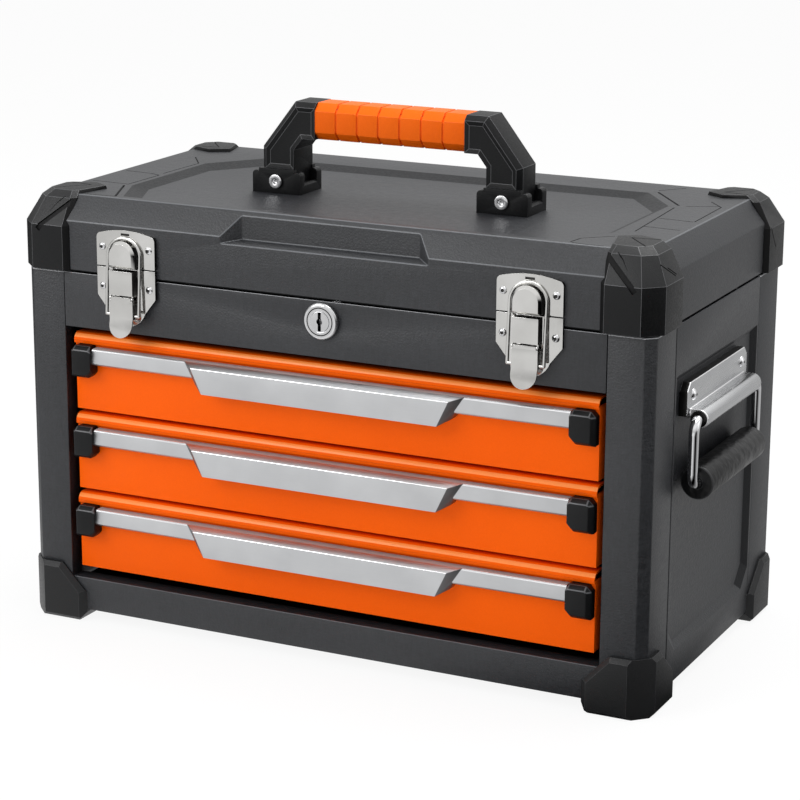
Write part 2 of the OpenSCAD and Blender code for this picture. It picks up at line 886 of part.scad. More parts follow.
// Bracket on the lid: a base, front and back walls with the bolt holes, and four rounded ears
module bracket() {
    w = arm_w + 2 * ear_w;
    d = arm_d + 2 * (bracket_t - arm_step);
    wall = bracket_t - seat_gap;
    mid = arm_half - arm_w / 2;
    ear_d = bracket_t + 3;
    base_h = bracket_t * 0.7;
    bolt_z = bracket_h * 0.5;
    translate([mid, handle_mid_y, handle_foot_z])
        difference() {
            union() {
                translate([-w / 2, -d / 2, 0])
                    cube([w, d, base_h]);
                for (side = [-1, 1]) {
                    translate([-arm_w / 2 - over, side * (d - wall) / 2 - wall / 2, 0])
                        cube([arm_w + 2 * over, wall, bracket_h]);
                    translate([side * (w - ear_w + seat_gap) / 2, 0, 0])
                        rotate([90, 0, 0])
                            linear_extrude(height = d, center = true)
                                low_wall_outline(ear_w - seat_gap, bracket_side_h);
                }
                for (side = [-1, 1])
                    for (end = [-1, 1])
                        translate([side * (w - ear_w + seat_gap) / 2, end * (d - ear_d) / 2, 0])
                            rotate([90, 0, 0])
                                linear_extrude(height = ear_d, center = true)
                                    ear_outline(ear_w - seat_gap, bracket_h - 2);
            }
            translate([0, 0, bolt_z])
                rotate([90, 0, 0])
                    cylinder(d = bolt_d + 2 * slack, h = d + 2 * over, center = true);
        }
}

// Upright with a round top
module ear_outline(width, height) {
    polygon(concat([[-width / 2, 0], [width / 2, 0]], arc(0, height - width / 2, width / 2, 0, 180, 12)));
}

module low_wall_outline(width, height) {
    cut = 1.5;
    polygon([
        [-width / 2, 0], [width / 2, 0], [width / 2, height - cut],
        [width / 2 - cut, height], [cut - width / 2, height], [-width / 2, height - cut]
    ]);
}

module handle_brackets() {
    color([0.12, 0.12, 0.13])
        on_left_and_right()
            bracket();
}

// Moulded frame of the handle: two knee-shaped arms joined by a core under the grip
module handle_frame() {
    bolt_z = handle_foot_z + bracket_h * 0.5;
    core_h = grip_h - 2 * sleeve_t;
    color([0.12, 0.12, 0.13])
        translate([0, handle_mid_y, 0])
            difference() {
                union() {
                    on_left_and_right()
                        intersection() {
                            rotate([90, 0, 0])
                                linear_extrude(height = arm_d, center = true)
                                    arm_outline();
                            arm_envelope();
                        }
                    translate([-grip_half - over, sleeve_t - grip_d / 2, grip_mid_z - core_h / 2])
                        cube([2 * (grip_half + over), grip_d - 2 * sleeve_t, core_h]);
                }
                on_left_and_right()
                    translate([arm_half - arm_w / 2, 0, bolt_z])
                        rotate([90, 0, 0])
                            cylinder(d = bolt_d + 2 * slack, h = arm_d + 2 * over, center = true);
                on_left_and_right()
                    for (side = [-1, 1])
                        translate([arm_half - arm_w - over, side * arm_d / 2 - arm_step, handle_foot_z])
                            cube([arm_w + 2 * over, 2 * arm_step, bracket_h + seat_gap]);
            }
}

// Front view of one arm
module arm_outline() {
    foot = handle_foot_z + bracket_t * 0.7 + seat_gap;
    inner = arm_half - arm_w;
    low_arm = handle_top - grip_h;
    polygon([
        [inner, foot], [arm_half, foot], [arm_half, handle_foot_z + knee_h],
        [arm_top_half, handle_top], [grip_half + seat_gap, handle_top],
        [grip_half + seat_gap, low_arm], [inner - 7, low_arm], [inner, low_arm - 9]
    ]);
}

// Form that bevels the outer edges of one arm, front and back
module arm_envelope() {
    leg = 4;
    hull() {
        rotate([90, 0, 0])
            linear_extrude(height = arm_d - 2 * leg, center = true)
                arm_contour(0);
        rotate([90, 0, 0])
            linear_extrude(height = arm_d, center = true)
                arm_contour(leg);
    }
}

// Outer contour of one arm, pulled in evenly on its outer sides
module arm_contour(inset) {
    knee = handle_foot_z + knee_h;
    slant = atan2(arm_half - arm_top_half, handle_top - knee);
    polygon([
        [0, handle_foot_z], [arm_half - inset, handle_foot_z],
        [arm_half - inset, knee - inset * tan(slant / 2)],
        [arm_top_half - inset * tan(45 - slant / 2), handle_top - inset], [0, handle_top - inset]
    ]);
}

// Cross-section of the grip: a rectangle with bevelled corners
module grip_section(inset) {
    w = grip_d / 2 - inset;
    h = grip_h / 2 - inset;
    cut = 6;
    polygon([
        [cut - w, -h], [w - cut, -h], [w, cut - h], [w, h - cut],
        [w - cut, h], [cut - w, h], [-w, h - cut], [-w, cut - h]
    ]);
}

// Soft sleeve in sections with narrow grooves between them
module handle_grip() {
    pitch = 2 * grip_half / grip_sections;
    groove_w = 1.6;
    core_h = grip_h - 2 * sleeve_t;
    color([0.96, 0.37, 0.05])
        translate([0, handle_mid_y, grip_mid_z])
            difference() {
                along_x(2 * grip_half)
                    grip_section(0);
                for (i = [1 : grip_sections - 1])
                    translate([i * pitch - grip_half, 0, 0])
                        difference() {
                            along_x(groove_w)
                                grip_section(-over);
                            along_x(groove_w + over)
                                grip_section(groove_depth);
                        }
                translate([-grip_half - over, sleeve_t - seat_gap - grip_d / 2, -core_h / 2 - seat_gap])
                    cube([2 * (grip_half + over), grip_d - 2 * sleeve_t + 2 * seat_gap, core_h + 2 * seat_gap]);
            }
}

// Bolts through brackets and arms, with a socket in the head
module handle_bolts() {
    face = arm_d / 2 + bracket_t - arm_step;
    bolt_z = handle_foot_z + bracket_h * 0.5;
    color([0.80, 0.80, 0.80])
        on_left_and_right()
            translate([arm_half - arm_w / 2, handle_mid_y, bolt_z])
                rotate([90, 0, 0])
                    difference() {
                        union() {
                            translate([0, 0, -face])
                                cylinder(d = bolt_d, h = 2 * face);
                            translate([0, 0, face])
                                cylinder(d = bolt_head_d, h = bolt_head_h);
                            translate([0, 0, -face - bolt_head_h])
                                cylinder(d = bolt_head_d, h = bolt_head_h);
                        }
                        translate([0, 0, face + 0.4])
                            cylinder(d = bolt_socket, h = bolt_head_h, $fn = 6);
                    }
}

// ---- latches ----

// Outline of the lower latch plate about the latch's split, pulled in for its hollow back
module latch_low_plate(inset) {
    w = latch_w / 2 - inset;
    waist = w - 8;
    top = -0.5 - inset;
    polygon(concat(
        [[-w, top], [-w, -22 - inset / 2]],
        arc(0, -27.5, waist, 200, 340, 14),
        [[w, -22 - inset / 2], [w, top]]
    ));
}

// Outline of the upper latch plate, with a bowed top, pulled in for its hollow back
module latch_high_plate(inset) {
    w = latch_w / 2 - inset;
    bow = 80;
    high = keeper_h - inset;
    turn = 4;
    side_h = high - bow + sqrt(bow * bow - (w - turn) * (w - turn));
    span = asin((w - turn - 2) / bow);
    polygon(concat(
        [[-w, 0.5 + inset], [w, 0.5 + inset]],
        arc(w - turn, side_h - turn, turn, 0, 65, 4),
        arc(0, high - bow, bow, 90 - span, 90 + span, 8),
        arc(turn - w, side_h - turn, turn, 115, 180, 4)
    ));
}

// Outline of the keeper's arch, raised and pulled in
module hook_outline(rise, inset) {
    r = hook_r - inset;
    polygon(concat(
        [[-r, 1 + inset], [r, 1 + inset]],
        arc(0, hook_h - hook_r + rise, r, 0, 180, 18)
    ));
}

// Fixed part of a latch: plate, channel and the ears that hold the lever's pin
module latch_base() {
    half = block_w / 2;
    m = latch_metal;
    gap = 2.3;
    z0 = gap - pivot_drop;
    difference() {
        out_from_front(0, latch_t)
            translate([0, split_z])
                latch_low_plate(0);
        out_from_front(-over, latch_t - latch_metal)
            translate([0, split_z])
                latch_low_plate(latch_metal);
        translate([-latch_w, front_y - 0.4, seam_z - 0.5])
            cube([2 * latch_w, 2, split_lift + 2]);
    }
    translate([0, 0, split_z])
        difference() {
            union() {
                translate([-half, front_y - block_out, z0])
                    cube([block_w, block_out - latch_t, -1 - z0]);
                on_left_and_right()
                    translate([half - m, front_y - pivot_out, -pivot_drop])
                        rotate([0, 90, 0])
                            cylinder(r = knuckle, h = m);
                on_left_and_right()
                    translate([half - m, front_y - pivot_out, -pivot_drop])
                        cube([m, knuckle, gap + over]);
            }
            translate([m - half, front_y - block_out + m, z0 - over])
                cube([block_w - 2 * m, block_out, -1 - z0 - m + over]);
            translate([0, front_y - pivot_out, -pivot_drop])
                rotate([0, 90, 0])
                    cylinder(r = latch_pin_r + slack, h = 2 * block_w, center = true);
        }
}

module latch_bases() {
    color([0.78, 0.77, 0.75])
        on_left_and_right()
            translate([latch_x, 0, 0])
                latch_base();
}

module latch_pins() {
    color([0.65, 0.65, 0.65])
        on_left_and_right()
            translate([latch_x, front_y - pivot_out, pivot_z])
                rotate([0, 90, 0])
                    cylinder(r = latch_pin_r, h = block_w, center = true);
}

// Keeper on the lid: plate, neck and the lip that the wire hooks behind
module latch_keeper() {
    lip_from = latch_t + hook_neck;
    skin = 0.02;
    translate([0, 0, split_z]) {
        difference() {
            out_from_front(0, latch_t)
                latch_high_plate(0);
            out_from_front(-over, latch_t - latch_metal)
                latch_high_plate(latch_metal);
        }
        out_from_front(latch_t, lip_from)
            hook_outline(0, 0);
        hull() {
            out_from_front(lip_from, block_out - 2)
                hook_outline(hook_lip, 0);
            out_from_front(block_out - skin, block_out)
                hook_outline(hook_lip, 2);
        }
    }
}

module latch_keepers() {
    color([0.78, 0.77, 0.75])
        on_left_and_right()
            translate([latch_x, 0, 0])
                latch_keeper();
}

// Lever: rolled knuckle, folded block and a flared thumb tongue
module latch_lever(right) {
    half = block_w / 2;
    m = latch_metal;
    top = -knuckle - 0.3;
    hub_top = 0.9;
    wire_hole = wire_r + slack;
    color([0.80, 0.79, 0.77])
        translate([right ? latch_x : -latch_x, 0, pivot_z])
            difference() {
                union() {
                    translate([0, front_y - pivot_out, 0])
                        rotate([0, 90, 0])
                            cylinder(r = knuckle, h = block_w - 2 * m - 0.6, center = true);
                    translate([m + 0.3 - half, front_y - block_out, top - 0.5])
                        cube([block_w - 2 * m - 0.6, m, hub_top + 0.5 - top]);
                    translate([-half, front_y - block_out, -lever_h])
                        cube([block_w, m, lever_h + top]);
                    on_left_and_right()
                        translate([half - m, front_y - block_out, -lever_h])
                            cube([m, block_out - latch_t - 1, lever_h - 4.2]);
                    tongue();
                }
                translate([0, front_y - pivot_out, 0])
                    rotate([0, 90, 0])
                        cylinder(r = latch_pin_r + slack, h = 2 * block_w, center = true);
                translate([0, front_y - wire_out, -wire_arm])
                    rotate([0, 90, 0])
                        cylinder(r = wire_hole, h = 2 * block_w, center = true);
            }
}

// Thumb tongue: curves outwards and ends in a half round
module tongue() {
    half = block_w / 2 - 0.2;
    m = latch_metal;
    end_z = -lever_h - tongue_len;
    flare = tongue_out - block_out;
    intersection() {
        along_x(block_w)
            polygon([
                [front_y - block_out + m, -lever_h + over], [front_y - block_out, -lever_h + over],
                [front_y - block_out, -lever_h], [front_y - block_out - flare * 0.35, -lever_h - tongue_len * 0.4],
                [front_y - tongue_out, end_z], [front_y - tongue_out + m, end_z],
                [front_y - block_out + m - flare * 0.35, -lever_h - tongue_len * 0.4],
                [front_y - block_out + m, -lever_h]
            ]);
        out_from_front(0, 2 * tongue_out)
            polygon(concat(
                [[half, -lever_h + 2 * over], [-half, -lever_h + 2 * over]],
                arc(0, end_z + half, half, 180, 360, 16)
            ));
    }
}

// Wire bail: two legs joined by an arch, with its feet turned in to the lever
module latch_wire(right) {
    lean = atan2(wire_out - wire_top_out, wire_top_z - wire_z);
    reach = norm([wire_out - wire_top_out, wire_top_z - wire_z]);
    leg = reach - wire_half;
    foot_in = block_w / 2 - latch_metal - 0.4;
    color([0.72, 0.72, 0.72])
        translate([right ? latch_x : -latch_x, front_y - wire_out, wire_z])
            rotate([-lean, 0, 0]) {
                on_left_and_right() {
                    translate([wire_half, 0, 0])
                        cylinder(r = wire_r, h = leg);
                    translate([wire_half, 0, 0])
                        sphere(r = wire_r);
                    translate([foot_in, 0, 0])
                        rotate([0, 90, 0])
                            cylinder(r = wire_r, h = wire_half - foot_in);
                }
                translate([0, 0, leg])
                    rotate([90, 0, 0])
                        rotate_extrude(angle = 180)
                            translate([wire_half, 0])
                                circle(r = wire_r);
            }
}

// ---- lock ----

module lock_housing() {
    color([0.85, 0.85, 0.86])
        translate([0, front_y, lock_z])
            rotate([-90, 0, 0])
                difference() {
                    union() {
                        translate([0, 0, -bezel_out])
                            rotate_extrude()
                                polygon([
                                    [0, 0], [bezel_d / 2 - 1.5, 0], [bezel_d / 2, 1.5],
                                    [bezel_d / 2, bezel_out], [0, bezel_out]
                                ]);
                        cylinder(d = barrel_d, h = barrel_len);
                    }
                    translate([0, 0, -bezel_out - over])
                        cylinder(r = plug_d / 2 + slack, h = barrel_len + bezel_out + 2 * over);
                }
}

module lock_nut() {
    nut_t = 5;
    color([0.70, 0.70, 0.70])
        translate([0, front_y + sheet_t, lock_z])
            rotate([-90, 0, 0])
                difference() {
                    cylinder(d = barrel_d + 7, h = nut_t, $fn = 6);
                    translate([0, 0, -over])
                        cylinder(r = barrel_d / 2 + slack, h = nut_t + 2 * over);
                }
}

// Plug with a keyhole slot
module lock_plug() {
    slot_d = 6;
    color([0.82, 0.82, 0.83])
        translate([0, front_y, lock_z])
            rotate([-90, 0, 0])
                difference() {
                    translate([0, 0, -bezel_out - 0.3])
                        cylinder(d = plug_d, h = barrel_len + bezel_out + 0.3);
                    translate([-1, -4.5, -bezel_out - over])
                        cube([2, 9, slot_d + over]);
                    translate([0, 0, -bezel_out - over])
                        cylinder(d = 4, h = slot_d + over);
                }
}

// Cam on the back of the plug, upright when unlocked
module lock_cam() {
    cam_t = 2;
    color([0.70, 0.70, 0.70])
        translate([0, front_y + barrel_len, lock_z]) {
            rotate([-90, 0, 0])
                cylinder(d = plug_d - 2, h = cam_t);
            translate([-4.5, 0, 0])
                cube([9, cam_t, cam_len]);
        }
}

// Hook under the lid that the turned cam holds down
module lock_strike() {
    t = 1.6;
    hook_low = lock_z - 9;
    web = barrel_len - 7;
    strip = 12;
    color([0.55, 0.56, 0.58])
        translate([-barrel_d / 2 - 7 - strip / 2, front_y, 0])
            along_x(strip)
                polygon([
                    [lid_wall, lid_z + 4], [web - t, lid_z + 4], [web - t, hook_low],
                    [barrel_len + 6, hook_low], [barrel_len + 6, hook_low + t], [web, hook_low + t],
                    [web, lid_z + 4 + t], [lid_wall + t, lid_z + 4 + t],
                    [lid_wall + t, lid_z + 22], [lid_wall, lid_z + 22]
                ]);
}

// ---- side handles ----

// Local axes at a side handle: +X points away from the body's side, origin on the bail's pivot
module at_side_handle(right) {
    translate([right ? half_w + side_pivot_out : -half_w - side_pivot_out, side_pivot_y, side_pivot_z])
        mirror([right ? 0 : 1, 0, 0])
            children();
}

// Plate with chamfered ends, its lower edge rolled into a barrel, on a short backing block
module side_plate(right) {
    half = side_plate_len / 2;
    cut = 6;
    back = -side_pivot_out - field_depth;
    face = side_plate_t - side_pivot_out;
    color([0.75, 0.75, 0.76])
        at_side_handle(right)
            difference() {
                union() {
                    translate([back, 0, 0])
                        rotate([90, 0, 90])
                            linear_extrude(height = face - back)
                                polygon([
                                    [-half, 2], [half, 2], [half, side_plate_h - cut], [half - cut, side_plate_h],
                                    [cut - half, side_plate_h], [-half, side_plate_h - cut]
                                ]);
                    rotate([90, 0, 0])
                        cylinder(d = roll_d, h = roll_len, center = true);
                    translate([back + field_depth, -roll_len / 2, 0])
                        cube([side_pivot_out, roll_len, roll_d / 2]);
                }
                rotate([90, 0, 0])
                    cylinder(r = rod_d / 2 + slack, h = 2 * side_plate_len, center = true);
            }
}

// Quarter bend of the rod from +Y to -Z, centred inside the bend
module rod_bend() {
    rotate([0, 90, 0])
        rotate_extrude(angle = 90)
            translate([bail_bend, 0])
                circle(d = rod_d);
}

// Closed rod loop: the top run turns in the barrel, the bottom run carries the grip
module side_bail(right) {
    half = bail_w / 2;
    color([0.78, 0.78, 0.79])
        at_side_handle(right)
            for (turn = [0, 1])
                mirror([0, turn, 0]) {
                    rotate([-90, 0, 0])
                        cylinder(d = rod_d, h = half - bail_bend);
                    translate([0, half, -bail_drop + bail_bend])
                        cylinder(d = rod_d, h = bail_drop - 2 * bail_bend);
                    translate([0, 0, -bail_drop])
                        rotate([-90, 0, 0])
                            cylinder(d = rod_d, h = half - bail_bend);
                    translate([0, half - bail_bend, -bail_bend])
                        mirror([0, 0, 1])
                            rod_bend();
                    translate([0, half - bail_bend, bail_bend - bail_drop])
                        rod_bend();
                }
}

module side_grip(right) {
    length = bail_w - 2 * bail_bend - 2;
    color([0.10, 0.10, 0.10])
        at_side_handle(right)
            translate([0, 0, -bail_drop])
                rotate([90, 0, 0])
                    difference() {
                        cylinder(d = side_grip_d, h = length, center = true);
                        cylinder(r = rod_d / 2 + slack, h = length + 2 * over, center = true);
                    }
}

// ---- rivets ----

// Low dome on +Z, sitting on z = 0
module dome(diameter, height) {
    r = (diameter * diameter / 4 + height * height) / (2 * height);
    intersection() {
        translate([0, 0, height - r])
            sphere(r = r);
        cylinder(d = diameter, h = height);
    }
}

module body_rivets() {
    color([0.80, 0.80, 0.80])
        on_left_and_right() {
            for (side = [-1, 1])
                translate([latch_x + side * (latch_w / 2 - 5), front_y - latch_t, split_z - 15])
                    rotate([90, 0, 0])
                        dome(6, 1.8);
            for (side = [-1, 1])
                translate([half_w + side_plate_t, side_pivot_y + side * (side_plate_len / 2 - 12.5), side_pivot_z + 16])
                    rotate([0, 90, 0])
                        dome(9, 2.6);
        }
}

module lid_rivets() {
    color([0.80, 0.80, 0.80])
        on_left_and_right()
            for (side = [-1, 1])
                translate([latch_x + side * (latch_w / 2 - 5), front_y - latch_t, split_z + 15])
                    rotate([90, 0, 0])
                        dome(6, 1.8);
}

// ---- hinges ----

// One leaf with every second knuckle of five; the leaf lies on the side of +Z when up is 1
module hinge_leaf(up, first) {
    pitch = hinge_len / 5;
    clear = knuckle_r + moving_gap;
    plate_from = up > 0 ? clear : -clear - leaf_h;
    difference() {
        union() {
            translate([-hinge_len / 2, -hinge_out, plate_from])
                cube([hinge_len, leaf_t, leaf_h]);
            for (i = [first : 2 : 4])
                translate([i * pitch - hinge_len / 2 + moving_gap / 2, 0, 0]) {
                    rotate([0, 90, 0])
                        cylinder(r = knuckle_r, h = pitch - moving_gap);
                    translate([0, -hinge_out, up > 0 ? 0 : -clear - over])
                        cube([pitch - moving_gap, leaf_t, clear + over]);
                }
        }
        translate([-hinge_len, 0, 0])
            rotate([0, 90, 0])
                cylinder(r = hinge_pin_d / 2 + slack, h = 2 * hinge_len);
    }
}

module hinge_body_leaves() {
    color([0.30, 0.30, 0.31])
        for (side = [-1, 1])
            translate([side * hinge_x, hinge_y, hinge_z])
                hinge_leaf(-1, 0);
}

module hinge_lid_leaves() {
    color([0.30, 0.30, 0.31])
        for (side = [-1, 1])
            translate([side * hinge_x, hinge_y, hinge_z])
                hinge_leaf(1, 1);
}

module hinge_pins() {
    color([0.60, 0.60, 0.60])
        for (side = [-1, 1])
            translate([side * hinge_x, hinge_y, hinge_z])
                rotate([0, 90, 0])
                    cylinder(d = hinge_pin_d, h = hinge_len - moving_gap, center = true);
}

// ---- nodes ----

base_pan();
side_panel(false);  // side_panel_left
side_panel(true);  // side_panel_right
back_panel();
header_panel();
front_post(false);  // front_post_left
front_post(true);  // front_post_right
rear_post(false);  // rear_post_left
rear_post(true);  // rear_post_right
tray_floor();
drawer_slides();
foot(false, true);  // foot_front_left
foot(true, true);  // foot_front_right
foot(false, false);  // foot_rear_left
foot(true, false);  // foot_rear_right
lock_housing();
lock_nut();
lock_plug();
lock_cam();
lock_strike();
latch_bases();
latch_pins();
latch_keepers();
latch_lever(false);  // latch_lever_left
latch_lever(true);  // latch_lever_right
latch_wire(false);  // latch_wire_left
latch_wire(true);  // latch_wire_right
side_plate(false);  // side_plate_left
side_plate(true);  // side_plate_right
side_bail(false);  // side_bail_left
side_bail(true);  // side_bail_right
side_grip(false);  // side_grip_left
side_grip(true);  // side_grip_right
body_rivets();
lid_rivets();
hinge_body_leaves();
hinge_lid_leaves();
hinge_pins();
lid_shell();
lid_corner(false, true);  // lid_corner_front_left
lid_corner(true, true);  // lid_corner_front_right
lid_corner(false, false);  // lid_corner_rear_left
lid_corner(true, false);  // lid_corner_rear_right
handle_brackets();
handle_frame();
handle_grip();
handle_bolts();
drawer_tray(1);  // drawer_1_tray
drawer_front(1);  // drawer_1_front
drawer_pull(1);  // drawer_1_pull
drawer_caps(1);  // drawer_1_caps
drawer_tray(2);  // drawer_2_tray
drawer_front(2);  // drawer_2_front
drawer_pull(2);  // drawer_2_pull
drawer_caps(2);  // drawer_2_caps
drawer_tray(3);  // drawer_3_tray
drawer_front(3);  // drawer_3_front
drawer_pull(3);  // drawer_3_pull
drawer_caps(3);  // drawer_3_caps
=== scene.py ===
import json
import math

import bpy
from mathutils import Matrix, Vector

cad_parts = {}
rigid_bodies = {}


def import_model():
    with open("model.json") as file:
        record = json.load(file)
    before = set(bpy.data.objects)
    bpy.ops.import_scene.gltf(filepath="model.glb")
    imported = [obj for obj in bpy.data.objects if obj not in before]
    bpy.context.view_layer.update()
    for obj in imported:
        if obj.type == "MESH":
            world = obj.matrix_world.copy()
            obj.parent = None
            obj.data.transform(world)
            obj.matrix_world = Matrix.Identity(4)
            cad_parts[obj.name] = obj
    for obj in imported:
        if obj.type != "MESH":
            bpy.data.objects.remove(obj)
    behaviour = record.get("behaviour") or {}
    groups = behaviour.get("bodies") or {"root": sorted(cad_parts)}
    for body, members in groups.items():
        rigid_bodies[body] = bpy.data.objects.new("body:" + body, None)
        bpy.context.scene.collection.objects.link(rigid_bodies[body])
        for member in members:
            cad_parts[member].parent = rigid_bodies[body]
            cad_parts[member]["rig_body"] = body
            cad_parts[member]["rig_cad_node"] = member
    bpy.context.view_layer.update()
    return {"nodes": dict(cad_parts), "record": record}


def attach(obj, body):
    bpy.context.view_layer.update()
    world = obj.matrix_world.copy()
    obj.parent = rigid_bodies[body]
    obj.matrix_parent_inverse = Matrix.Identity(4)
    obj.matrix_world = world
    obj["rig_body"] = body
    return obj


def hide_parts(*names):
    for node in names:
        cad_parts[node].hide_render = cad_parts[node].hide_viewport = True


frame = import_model()
nodes = frame["nodes"]


def pickOnly(obj):
    if bpy.context.object and bpy.context.object.mode != "OBJECT":
        bpy.ops.object.mode_set(mode="OBJECT")
    bpy.ops.object.select_all(action="DESELECT")
    obj.select_set(True)
    bpy.context.view_layer.objects.active = obj
    return obj


mergeNear = 0.000004        # metres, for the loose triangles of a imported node
mergeSkin = 0.00004         # metres, for steps that are only there to close a hull
flatAngle = math.radians(0.6)
smoothAngle = math.radians(35)
# 1 holds the painted edge highlight, 2 the painted shade of cuts and shaded faces, 3 a further painted light
# or shade
edgeHighlightFinish, paintedShadeFinish, paintedLightFinish = 1, 2, 3       # numbers of a piece's finishes; 0 is its main one


def openMesh(obj, kind="FACE"):
    pickOnly(obj)
    bpy.ops.object.mode_set(mode="EDIT")
    bpy.ops.mesh.select_mode(type=kind)
    bpy.ops.mesh.select_all(action="DESELECT")


def closeMesh():
    bpy.ops.object.mode_set(mode="OBJECT")


def selectFaces(obj, test):
    # faces are chosen by their middle and normal, in metres
    bpy.ops.object.mode_set(mode="OBJECT")
    for face in obj.data.polygons:
        face.select = test(obj.matrix_world @ face.center, face.normal)
    bpy.ops.object.mode_set(mode="EDIT")


def applyAll(obj):
    pickOnly(obj)
    for modifier in list(obj.modifiers):
        bpy.ops.object.modifier_apply(modifier=modifier.name)
    return obj


def settle(obj):
    # place, turn and size go into the mesh
    pickOnly(obj)
    bpy.ops.object.transform_apply(location=True, rotation=True, scale=True)
    return obj


def roundEdges(obj, width, segments, angle):
    mod = obj.modifiers.new("softEdges", "BEVEL")
    mod.width = width
    mod.segments = segments
    mod.limit_method = "ANGLE"
    mod.angle_limit = math.radians(angle)
    mod.miter_outer = "MITER_ARC"
    # the bevel faces take the piece's painted edge highlight
    mod.material = edgeHighlightFinish
    applyAll(obj)
    bpy.ops.object.shade_smooth_by_angle(angle=smoothAngle)
    return obj


def dullEdges(obj, keep):
    # softened edges keep their painted edge highlight only where keep(middle, normal) is true
    for face in obj.data.polygons:
        if face.material_index == edgeHighlightFinish and not keep(face.center, face.normal):
            face.material_index = 0
    return obj


def giveFinish(obj, test, number=paintedShadeFinish, keepEdges=False):
    # the numbered finish goes to the faces for which test(middle, normal) is true
    for face in obj.data.polygons:
        kept = keepEdges and face.material_index == edgeHighlightFinish
        if not kept and test(face.center, face.normal):
            face.material_index = number
    return obj


def dress(obj, *finishes):
    obj.data.materials.clear()
    for finish in finishes:
        obj.data.materials.append(finish)
    return obj


def mergePoints(piece, near):
    # points closer than near become one, and flat faces lose the lines across them
    openMesh(piece, "VERT")
    bpy.ops.mesh.select_all(action="SELECT")
    bpy.ops.mesh.remove_doubles(threshold=near)
    bpy.ops.mesh.dissolve_limited(angle_limit=flatAngle)
    closeMesh()
    return piece


def copyNode(nodeName, pieceName):
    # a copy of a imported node, merged and cleaned so that its edges can be worked
    source = nodes[nodeName]
    pickOnly(source)
    bpy.ops.object.duplicate()
    piece = bpy.context.object
    piece.parent = None
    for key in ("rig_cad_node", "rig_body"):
        if key in piece:
            del piece[key]
    piece.name = pieceName
    piece.data.name = pieceName
    piece.data.materials.clear()
    bpy.ops.mesh.customdata_custom_splitnormals_clear()
    return mergePoints(piece, mergeNear)


def addBar(start, end, width, deep, up, vee=False):
    # a cutting bar from start to end, centred on a surface whose normal is up
    start, end, up = Vector(start), Vector(end), Vector(up).normalized()
    along = (end - start).normalized()
    side = up.cross(along).normalized()
    up = along.cross(side)
    if vee:
        side, up = (side + up).normalized(), (up - side).normalized()
        deep = width = width * 0.707
    else:
        deep = deep * 2
    bpy.ops.mesh.primitive_cube_add(size=1)
    bar = bpy.context.object
    turn = Matrix((along, side, up)).transposed().to_4x4()
    size = Matrix.Diagonal(((end - start).length + width * 0.6, width, deep, 1))
    bar.matrix_world = Matrix.Translation((start + end) / 2) @ turn @ size
    return settle(bar)


def addPath(points, width, deep, up, vee=True):
    return [addBar(a, b, width, deep, up, vee) for a, b in zip(points, points[1:])]


def cutWith(piece, cutters):
    # all cutters are taken out of the piece at once, and the cut faces get the piece's painted shade finish
    bpy.ops.object.select_all(action="DESELECT")
    for cutter in cutters:
        cutter.select_set(True)
    bpy.context.view_layer.objects.active = cutters[0]
    if len(cutters) > 1:
        bpy.ops.object.join()
    tool = cutters[0]
    for n in range(paintedShadeFinish + 1):
        tool.data.materials.append(piece.data.materials[n])
    for face in tool.data.polygons:
        face.material_index = paintedShadeFinish
    mod = piece.modifiers.new("cut", "BOOLEAN")
    mod.operation = "DIFFERENCE"
    mod.solver = "EXACT"
    mod.use_self = True
    mod.object = tool
    applyAll(piece)
    bpy.data.objects.remove(tool)
    pickOnly(piece)
    bpy.ops.object.shade_smooth_by_angle(angle=smoothAngle)
    return piece


def sinkFaces(piece, test, border, depth):
    # flat faces get a border and their inside is pushed in
    openMesh(piece)
    selectFaces(piece, test)
    bpy.ops.mesh.inset(thickness=border, depth=-depth)
    closeMesh()
    return piece


def finishPiece(piece, body, slotName, *replaced):
    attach(piece, body)
    if replaced:
        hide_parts(*replaced)
    return piece


def newFinish(name):
    finish = bpy.data.materials.new(name)
    finish.use_nodes = True
    tree = finish.node_tree
    tree.nodes.clear()
    out = tree.nodes.new("ShaderNodeOutputMaterial")
    shader = tree.nodes.new("ShaderNodeBsdfPrincipled")
    place = tree.nodes.new("ShaderNodeTexCoord")
    tree.links.new(shader.outputs["BSDF"], out.inputs["Surface"])
    return finish, tree, shader, place.outputs["Object"]


def addNoise(tree, coords, scale, detail=2.0, rough=0.5, stretch=None):
    if stretch is not None:
        turn = tree.nodes.new("ShaderNodeMapping")
        turn.inputs["Scale"].default_value = stretch
        tree.links.new(coords, turn.inputs["Vector"])
        coords = turn.outputs["Vector"]
    noise = tree.nodes.new("ShaderNodeTexNoise")
    noise.inputs["Scale"].default_value = scale
    noise.inputs["Detail"].default_value = detail
    noise.inputs["Roughness"].default_value = rough
    tree.links.new(coords, noise.inputs["Vector"])
    return noise.outputs["Fac"]


def addCells(tree, coords, scale):
    cells = tree.nodes.new("ShaderNodeTexVoronoi")
    cells.inputs["Scale"].default_value = scale
    tree.links.new(coords, cells.inputs["Vector"])
    return cells.outputs["Distance"]


def addSpan(tree, value, low, high, fromLow=0.3, fromHigh=0.7):
    span = tree.nodes.new("ShaderNodeMapRange")
    span.inputs["From Min"].default_value = fromLow
    span.inputs["From Max"].default_value = fromHigh
    span.inputs["To Min"].default_value = low
    span.inputs["To Max"].default_value = high
    tree.links.new(value, span.inputs["Value"])
    return span.outputs["Result"]


def addTint(tree, value, first, second):
    tint = tree.nodes.new("ShaderNodeMix")
    tint.data_type = "RGBA"
    tint.inputs["A"].default_value = (*first, 1)
    tint.inputs["B"].default_value = (*second, 1)
    tree.links.new(value, tint.inputs["Factor"])
    return tint.outputs["Result"]


